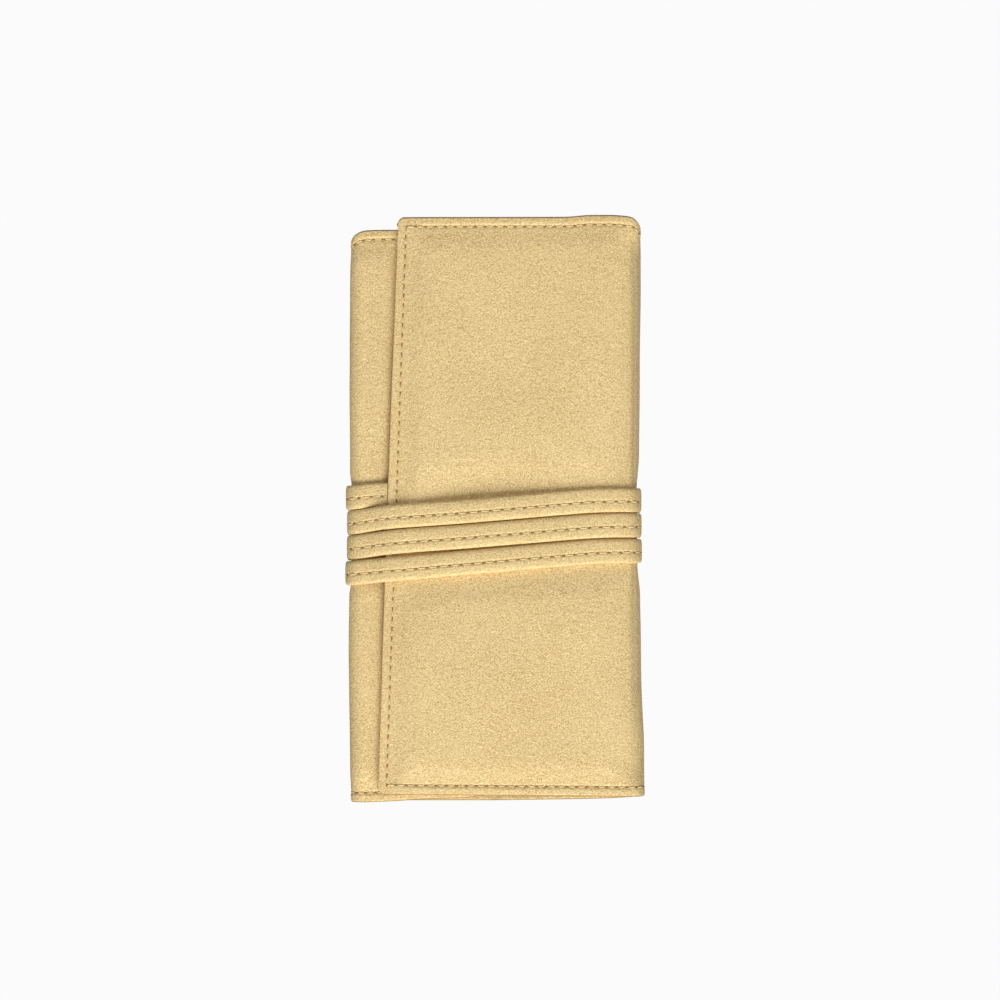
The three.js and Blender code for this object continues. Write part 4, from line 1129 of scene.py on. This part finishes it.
right_lining_side = lining_side(cover_lining_face, right_strip_high, cover_start)
left_lining_side = lining_side(inner_lining_face, left_strip_high, inner_start)
lining_edge_x = edge_x_middle + hide_thickness / 2
cover_lining_end = right_lining_side[1][4] + lining_start - lining_edge_x - lining_inset
inner_lining_end = left_lining_side[1][4] + lining_start - tip_clearance - lining_inset
inner_lining_end -= lining_thickness / 2


def lining_row(u, v, stops, hide_stops, low_line, high_line):
    """Rows that follow the hide's end lines, a lining margin inside them."""
    beside = np.interp(u, stops, hide_stops) + np.maximum(u - stops[4], 0)
    near_low, near_high = end_shares(v)
    low = low_line(beside) - row_low_y + lining_margin
    high = high_line(beside) - row_high_y - lining_margin
    return v + low * near_low + high * near_high


def lining_flare(facing, v):
    """How far the lining runs out to meet the hide in the last millimetres before the sewn ends."""
    side = np.cos(facing) ** 2
    gap = lining_side_gap * side + lining_top_gap * np.where(facing > 0, 1 - side, 0)
    return gap * (1 - smooth((end_distance(v) - 1.5) / 5.5))


def right_lining(u, v):
    """The lining's outer face on the right side: its section, with the cover's dip and lean."""
    path, stops, _, hide_stops = right_lining_side
    y = lining_row(u, v, stops, hide_stops, right_low_line, right_high_line)
    lean = -(y * edge_lean) * np.clip((u - stops[4] - lean_start) / lean_length, 0, 1)
    x, z, facing = along_section(path, u + lean)
    z = np.where(u > stops[4], cover_lining_height(x), z)
    from_fold = np.abs(u - (stops[3] + stops[4]) / 2)
    flare = lining_flare(facing, v) * (1 - smooth((-20 - x) / 12)) * smooth((from_fold - 3) / 8)
    return moved_out(x, y, z, facing, flare - fold_tuck * bell(from_fold, 4.2))


def left_lining(u, v):
    """The same on the left side, up to the inner panel's tip."""
    path, stops, _, hide_stops = left_lining_side
    y = lining_row(u, v, stops, hide_stops, left_low_line, left_high_line)
    x, z, facing = along_section(path, u)
    return moved_out(x, y, z, facing, lining_flare(facing, v)) * [-1, 1, 1]


def lining_columns(start, bend_start, bend_end, end):
    """Wide steps on the flats and fine ones round the corner, which opens out a long way."""
    fine = [max(start + 0.1, bend_start - 3.6), min(end - 0.1, bend_end + 3.6)]
    return grid_lines([start, *fine, end], [3.5, 0.45, 3.5])


lining_rows = grid_lines([row_low_y, row_low_y + 20, row_high_y - 20, row_high_y], [2.0, 4.0, 2.0])
for words, lining, (_, stops, meeting, _), tip in (
    (("back_right", "cover"), right_lining, right_lining_side, cover_lining_end),
    (("back_left", "inner"), left_lining, left_lining_side, inner_lining_end),
):
    halves = (
        lining_columns(0, stops[1], stops[2], meeting),
        lining_columns(meeting, stops[3], stops[4], tip),
    )
    for word, columns in zip(words, halves):
        lining_grid = grid_of(lining, columns, lining_rows)
        quarter_sheet("suede_", word, lining_grid, lining_thickness, suede_lining, "suede_lining", "lining_")

# Zip pockets: on each lining two flat leathers, turned in and sewn down, with a brass zip between
# them. The zip's tapes are woven cloth, and the teeth, stops, slider and pull are brass.
pocket_leather = gold_leather_finish("pocket_leather", colour(232, 206, 158), colour(206, 178, 130), 1500.0)
pocket_stitches = {"length": 2.1, "radius": 0.2, "pitch": 3.0}
widest_step = 5.0
patch_groove = 0.14
pocket_corner = 3.0
pocket_seam = 1.4


def corners_of(node):
    """A solid's lowest and highest corner in mm."""
    low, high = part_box(node)
    return np.array(low) / MM, np.array(high) / MM


def patch_lines(low, high, inset):
    """Grid lines across a patch: close together near both borders and wide in the middle."""
    step = min(widest_step, (high - low - 2 * inset[-1]) / 4)
    middle = grid_lines([low + inset[-1], high - inset[-1]], [step])
    return np.concatenate([low + inset[:-1], middle, (high - inset[:-1])[::-1]])


def patch_piece(name, node, body, corner, facing, finish, slot, seam):
    """A flat patch with rounded corners that stands for a solid. Its visible face looks up (1) or
    down (-1), and a groove runs inside its border under the stitches."""
    low, high = corners_of(node)
    inset = np.array([0, 0.25, 0.6, 1.0, seam, seam + 0.4, seam + 0.9, seam + 1.6])
    inset = inset[inset < min(high[:2] - low[:2]) / 2 - 0.2]
    xs, ys = (patch_lines(low[k], high[k], inset) for k in (0, 1))
    x, y = np.meshgrid(xs, ys, indexing="ij")
    from_side = np.minimum(np.minimum(x - low[0], high[0] - x), np.minimum(y - low[1], high[1] - y))
    aside = np.clip(corner - np.minimum(x - low[0], high[0] - x), 0, corner)
    drop = corner - np.sqrt(np.maximum(corner**2 - aside**2, 0))
    middle_y = (low[1] + high[1]) / 2
    share = smooth((np.abs(y - middle_y) / ((high[1] - low[1]) / 2) - 0.2) / 0.8)
    y = y + np.sign(middle_y - y) * drop * share
    face_z, back_z = (high[2], low[2]) if facing > 0 else (low[2], high[2])
    outer = np.stack([x, y, face_z - facing * patch_groove * bell(from_side - seam, 0.35)], axis=-1)
    inner = outer.copy()
    inner[..., 2] = back_z
    patch = sheet_piece(name, outer, finish, turned=facing < 0, inner=inner)
    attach(patch, body)
    clad(patch, slot, node)
    return low, high, face_z


def seam_along(line, upward, closed=False):
    """A seam along a line of points that all look out in one direction: its stitches' and its
    holes' places, with their directions."""
    if closed:
        line = np.concatenate([line, line[:1]])
    length = lengths_along(line)

    def row(at):
        place = points_at(at, length, line)
        along = unit(points_at(at + 0.4, length, line) - points_at(at - 0.4, length, line))
        return place, along, np.broadcast_to(np.array(upward, float), place.shape)

    return even_rows(row, length[-1], pocket_stitches["pitch"], closed)


def sewn_patch(name, node, body, corner=2.0, seam=1.1, facing=1):
    """A leather patch with stitches in a closed line a little inside its border."""
    low, high, face_z = patch_piece(name, node, body, corner, facing, pocket_leather, "pocket_leather", seam)
    radius = max(corner - seam, 0.3)
    turn = np.radians(np.linspace(0, 90, 8))
    (x_low, y_low), (x_high, y_high) = low[:2] + seam + radius, high[:2] - seam - radius
    parts = []
    for centre in ((x_high, y_high), (x_low, y_high), (x_low, y_low), (x_high, y_low)):
        swung = turn + len(parts) * np.pi / 2
        parts.append(centre + radius * np.stack([np.cos(swung), np.sin(swung)], axis=1))
    line = np.concatenate([*parts, parts[0][:1]])
    length = lengths_along(line)
    border = points_at(np.arange(0, length[-1], 0.3), length, line)
    border = np.column_stack([border, np.full(len(border), face_z - facing * 0.02)])
    seam_rows = seam_along(border, (0, 0, facing), closed=True)
    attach(stitch_piece("stitches_" + name, seam_rows, **pocket_stitches), body)


def tape_finish():
    """Woven zip tape: a herringbone of fine threads across and along."""
    material, tone, place = new_finish("zip_tape")
    weave = place.waves("X", 620.0) * place.waves("Y", 760.0)
    dust = place.noise(300.0, 3.0)
    shade = (0.6 * weave + 0.5 * dust - 0.1).mix(colour(176, 148, 102), colour(208, 182, 134))
    tone.finish(shade, 0.78 + 0.15 * dust, weave, 0.6, 0.00015, {})
    return material


def brass_finish():
    """Polished brass: a clear warm metal with hair scratches and slightly duller patches."""
    material, tone, place = new_finish("brass_hardware")
    turned = {"Vector": place, "Scale": (1.0, 0.06, 1.0), "Rotation": (0.0, 0.0, 0.5)}
    scratches = tone.add("ShaderNodeMapping", turned).noise(4200.0, 3.0)
    haze = place.noise(260.0, 3.0)
    shade = (0.8 * haze + 0.3 * scratches - 0.05).mix(colour(232, 196, 118), colour(206, 164, 84))
    rough = 0.18 * scratches.above(0.6, 0.15) + 0.14 * haze + 0.17
    tone.finish(shade, rough, scratches, 0.15, 0.00004, {"Metallic": 1.0})
    return material


zip_tape = tape_finish()
brass_hardware = brass_finish()


def brass_piece(piece, body, node):
    """The piece rides on a body and stands for a brass solid."""
    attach(piece, body)
    clad(piece, "brass_hardware", node)


def eased_metal(name, node, body, width):
    """A metal part with its corners rounded: the solid's own mesh, merged, with a bevel."""
    piece = bpy.data.objects.new(name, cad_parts[node].data.copy())
    scene.collection.objects.link(piece)
    mesh = piece.data
    shape = bmesh.new()
    shape.from_mesh(mesh)
    bmesh.ops.remove_doubles(shape, verts=shape.verts, dist=0.000002)
    bmesh.ops.dissolve_limit(shape, angle_limit=0.02, verts=shape.verts, edges=shape.edges)
    sharp = [edge for edge in shape.edges if edge.is_manifold and edge.calc_face_angle() > 0.6]
    settings = {"offset": width * MM, "segments": 2, "profile": 0.6, "affect": "EDGES", "clamp_overlap": True}
    bmesh.ops.bevel(shape, geom=sharp, **settings)
    bmesh.ops.triangulate(shape, faces=shape.faces)
    shape.to_mesh(mesh)
    shape.free()
    mesh.polygons.foreach_set("use_smooth", np.zeros(len(mesh.polygons), bool))
    mesh.materials.clear()
    mesh.materials.append(brass_hardware)
    brass_piece(piece, body, node)


for word, body in (("cover", "cover_flap"), ("inner", "inner_panel")):
    for side_word in ("left", "right"):
        node = word + "_pocket_" + side_word
        low, high = corners_of(node)
        corner = min(pocket_corner, (high[0] - low[0]) * 0.33)
        seam = min(pocket_seam, (high[0] - low[0]) / 3)
        sewn_patch(word + "_pocket_leather_" + side_word, node, body, corner, seam, -1)
        tape = word + "_zip_tape_" + side_word
        patch_piece(word + "_woven_tape_" + side_word, tape, body, 0.4, -1, zip_tape, "zip_tape", 0.9)
        eased_metal(word + "_teeth_" + side_word, word + "_zip_teeth_" + side_word, body, 0.1)
    for end_word in ("bottom", "top"):
        eased_metal(word + "_stop_" + end_word, word + "_zip_stop_" + end_word, body, 0.18)
    eased_metal(word + "_slider", word + "_zip_slider", word + "_slider", 0.16)
    eased_metal(word + "_pull", word + "_zip_pull", word + "_pull", 0.2)

# Necklace tabs: three narrow leather tabs under a sewn strip near the top of the back, each with a
# press stud at its tip that closes on the lining.
cap_profile = [
    [0.2, 0], [4.0, 0], [4.16, 0.08], [4.2, 0.25], [4.14, 0.45], [3.9, 0.62], [3.6, 0.7], [3.35, 0.68],
    [3.1, 0.74], [2.6, 0.92], [1.9, 1.08], [1.0, 1.18], [0.2, 1.2],
]
stud_profile = [
    [0.2, 0], [3.5, 0], [3.6, 0.1], [3.6, 0.36], [3.45, 0.48], [1.9, 0.5], [1.35, 0.62], [1.2, 0.9],
    [1.28, 1.2], [1.26, 1.42], [1.05, 1.56], [0.2, 1.6],
]
socket_profile = [
    [1.8, 0.08], [1.88, 0.02], [3.4, 0.0], [3.56, 0.1], [3.6, 0.3], [3.55, 0.75], [3.4, 0.88], [1.9, 0.9],
    [1.8, 0.82], [1.8, 0.08],
]
stud_parts = (
    ("_brass_stud", "_stud", stud_profile),
    ("_brass_snap_cap", "_snap_cap", cap_profile),
    ("_brass_socket", "_snap_socket", socket_profile),
)


def turned_piece(name, node, profile):
    """A brass body of revolution over the middle of a solid's foot: the profile's (radius, height)
    points carried round its upright axis."""
    low, high = corners_of(node)
    profile = np.array(profile, float)
    turn = np.linspace(0, 2 * np.pi, 48, endpoint=False)
    points = np.zeros((len(profile), len(turn), 3))
    points[..., :2] = profile[:, 0, None, None] * np.stack([np.cos(turn), np.sin(turn)], axis=1)
    points[..., :2] += (low[:2] + high[:2]) / 2
    points[..., 2] = profile[:, 1, None] + low[2]
    number = np.arange(points[..., 0].size).reshape(len(profile), -1)
    return add_piece(name, points.reshape(-1, 3), tube_faces(number), brass_hardware)


def snap(word, body):
    """A press stud: the stud on the back's lining, the domed cap and the socket on the tab. The
    socket's profile is a closed line, so its ring loses its two caps and its ends are joined."""
    for name_end, node_end, profile in stud_parts:
        part = turned_piece(word + name_end, word + node_end, profile)
        brass_piece(part, "back" if node_end == "_stud" else body, word + node_end)
    shape = bmesh.new()
    shape.from_mesh(part.data)
    caps = [face for face in shape.faces if len(face.verts) > 4]
    bmesh.ops.delete(shape, geom=caps, context="FACES_ONLY")
    bmesh.ops.remove_doubles(shape, verts=shape.verts, dist=0.000001)
    bmesh.ops.recalc_face_normals(shape, faces=shape.faces)
    shape.to_mesh(part.data)
    shape.free()


sewn_patch("necklace_strip", "necklace_mount_strip", "back", seam=1.4)
for number in ("1", "2", "3"):
    node = "necklace_tab_" + number
    sewn_patch("tab_leather_" + number, node, node)
    snap(node, node)

# Ring bar: a firm roll of wadding in suede, drawn in at both ends, that the rings slide on. Its
# lower end hangs on a sewn anchor by a short link and its upper end closes with a press stud.
bar_rounding = 4.2
gather_height = 0.16
gather_count = 14
seam_depth = 0.28
ripple_height = 0.06
low, high = corners_of("ring_bar_roll")
bar_x, _, bar_z = (low + high) / 2
bar_radius = (high[0] - low[0]) / 2
bar_length = high[1] - low[1]
bar_end = np.array([0, 0.15, 0.5, 1.1, 1.9, 2.9, 4.2, 6])
along = np.concatenate([bar_end, np.linspace(8.5, bar_length - 8.5, 24), bar_length - bar_end[::-1]])
turn = np.linspace(0, 2 * np.pi, 56, endpoint=False)
from_end = np.minimum(along, bar_length - along)[:, None]
girth = bar_radius * np.sqrt(np.clip(1 - (1 - np.clip(from_end / bar_rounding, 0, 1)) ** 2.4, 0.0, 1))
gathers = gather_height * np.cos(gather_count * turn)[None, :] * bell(from_end - 1.6, 2.2)
seam_dent = seam_depth * bell(turn - 1.5 * np.pi, 0.09)[None, :]
ripple = ripple_height * np.sin(along[:, None] * 0.42 + 2 * np.sin(turn)[None, :])
radius = girth - 0.2 + gathers * (girth > 1) - seam_dent * (from_end > 2) + ripple * (from_end > 3)
radius = np.maximum(radius, 0.05)


def tube_piece(name, columns, finish, reverse=False):
    """A closed tube whose points' x, y and z are given ring by ring."""
    points = np.stack(np.broadcast_arrays(*columns), axis=-1)
    number = np.arange(points[..., 0].size).reshape(points.shape[:2])
    return add_piece(name, points.reshape(-1, 3), tube_faces(number, reverse), finish)


bar_columns = (bar_x + radius * np.cos(turn), low[1] + along[:, None], bar_z + radius * np.sin(turn))
bar_suede = suede_finish("bar_suede", colour(210, 192, 162), colour(180, 160, 128))
padded_bar = tube_piece("padded_bar", bar_columns, bar_suede, reverse=True)
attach(padded_bar, "ring_bar")
clad(padded_bar, "suede_lining", "ring_bar_roll")
sewn_patch("bar_tab", "ring_bar_tab", "ring_bar")
sewn_patch("bar_link", "ring_bar_link", "ring_bar", corner=0.3, seam=0.9)
sewn_patch("bar_anchor", "ring_bar_anchor", "back")
snap("ring_bar", "ring_bar")

# Chain pouch: a shallow suede pocket at the back's lower left that catches the chains' ends. It is
# sewn down on three sides, and an elastic hem gathers its mouth.
pouch_edge = 0.85
pouch_thickness = 0.75
pouch_slope = 4.5
pouch_seam = 1.4
pouch_groove = 0.12
gather_rise = 0.22
gather_pitch = 3.1
ruffle_depth = 0.16
ruffle_pitch = 2.1
low, high = corners_of("chain_pouch")
rim = np.array([0, 0.3, 0.8, pouch_seam, 2.2])
pouch_x = np.concatenate([low[0] + rim, np.linspace(low[0] + 3.2, high[0] - 3.2, 56), high[0] - rim[::-1]])
pouch_y = np.concatenate([low[1] + rim, np.linspace(low[1] + 3.4, high[1] - 1, 30), [high[1]]])
x, y = np.meshgrid(pouch_x, pouch_y, indexing="ij")
from_wall = np.minimum(np.minimum(x - low[0], high[0] - x), y - low[1])
to_mouth = np.clip((y - low[1]) / (high[1] - low[1]), 0, 1)
pouch_rise = high[2] - low[2] - pouch_edge
gathered = (x - low[0]) * 2 * np.pi / gather_pitch + 0.7 * np.sin(x * 0.5)
gathers = gather_rise * np.cos(gathered) * to_mouth**5
hollow = -0.25 * bell(x + 27, 12) * bell(y + 76, 14)
groove = pouch_groove * bell(from_wall - pouch_seam, 0.35)
pouch_z = low[2] + pouch_edge + (pouch_rise + gathers + hollow) * smooth(from_wall / pouch_slope) - groove
pouch_outer = np.stack([x, y, pouch_z], axis=-1)
pouch = sheet_piece("suede_pouch", pouch_outer, suede_lining, thickness=pouch_thickness)
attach(pouch, "back")
clad(pouch, "suede_lining", "chain_pouch")
seam_x = np.array([low[0] + pouch_seam, high[0] - pouch_seam])
seam_y = np.array([high[1] - 1, low[1] + pouch_seam])
seam_z = low[2] + pouch_edge + pouch_rise * smooth(pouch_seam / pouch_slope) - 0.05
down, along, up = (np.linspace(*ends, 60) for ends in (seam_y, seam_x, seam_y[::-1]))
wall_x = np.concatenate([np.full(60, seam_x[0]), along[1:], np.full(59, seam_x[1])])
wall_y = np.concatenate([down, np.full(59, seam_y[1]), up[1:]])
wall_line = np.column_stack([wall_x, wall_y, np.full(len(wall_x), seam_z)])
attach(stitch_piece("stitches_pouch", seam_along(wall_line, (0, 0, 1)), **pocket_stitches), "back")


def elastic_finish():
    """Covered elastic: close ribs across its length with a soft fuzz."""
    material, tone, place = new_finish("elastic_hem")
    ribs = place.waves("X", 320.0, 0.6)
    fuzz = place.noise(1800.0, 3.0)
    shade = (0.6 * ribs + 0.5 * fuzz - 0.05).mix(colour(170, 148, 112), colour(206, 186, 150))
    tone.finish(shade, 0.82 + 0.1 * fuzz, ribs + 0.3 * fuzz, 0.7, 0.0002, {})
    return material


low, high = corners_of("chain_pouch_hem")
_, hem_y, hem_z = (low + high) / 2
hem_x = np.linspace(low[0], high[0], 220)[:, None]
turn = np.linspace(0, 2 * np.pi, 20, endpoint=False)
ruffled = hem_x * 2 * np.pi / ruffle_pitch + 0.5 * np.sin(turn)
ruffle = 1 - ruffle_depth * (0.5 + 0.5 * np.cos(ruffled))
hem_end = np.minimum(hem_x - low[0], high[0] - hem_x)
radius = (high[2] - low[2]) / 2 * ruffle * np.sqrt(np.clip(hem_end / 0.6, 0.08, 1))
hem_columns = (hem_x, hem_y + radius * np.cos(turn), hem_z + radius * np.sin(turn))
hem = tube_piece("gathered_hem", hem_columns, elastic_finish())
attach(hem, "back")
clad(hem, "elastic_hem", "chain_pouch_hem")
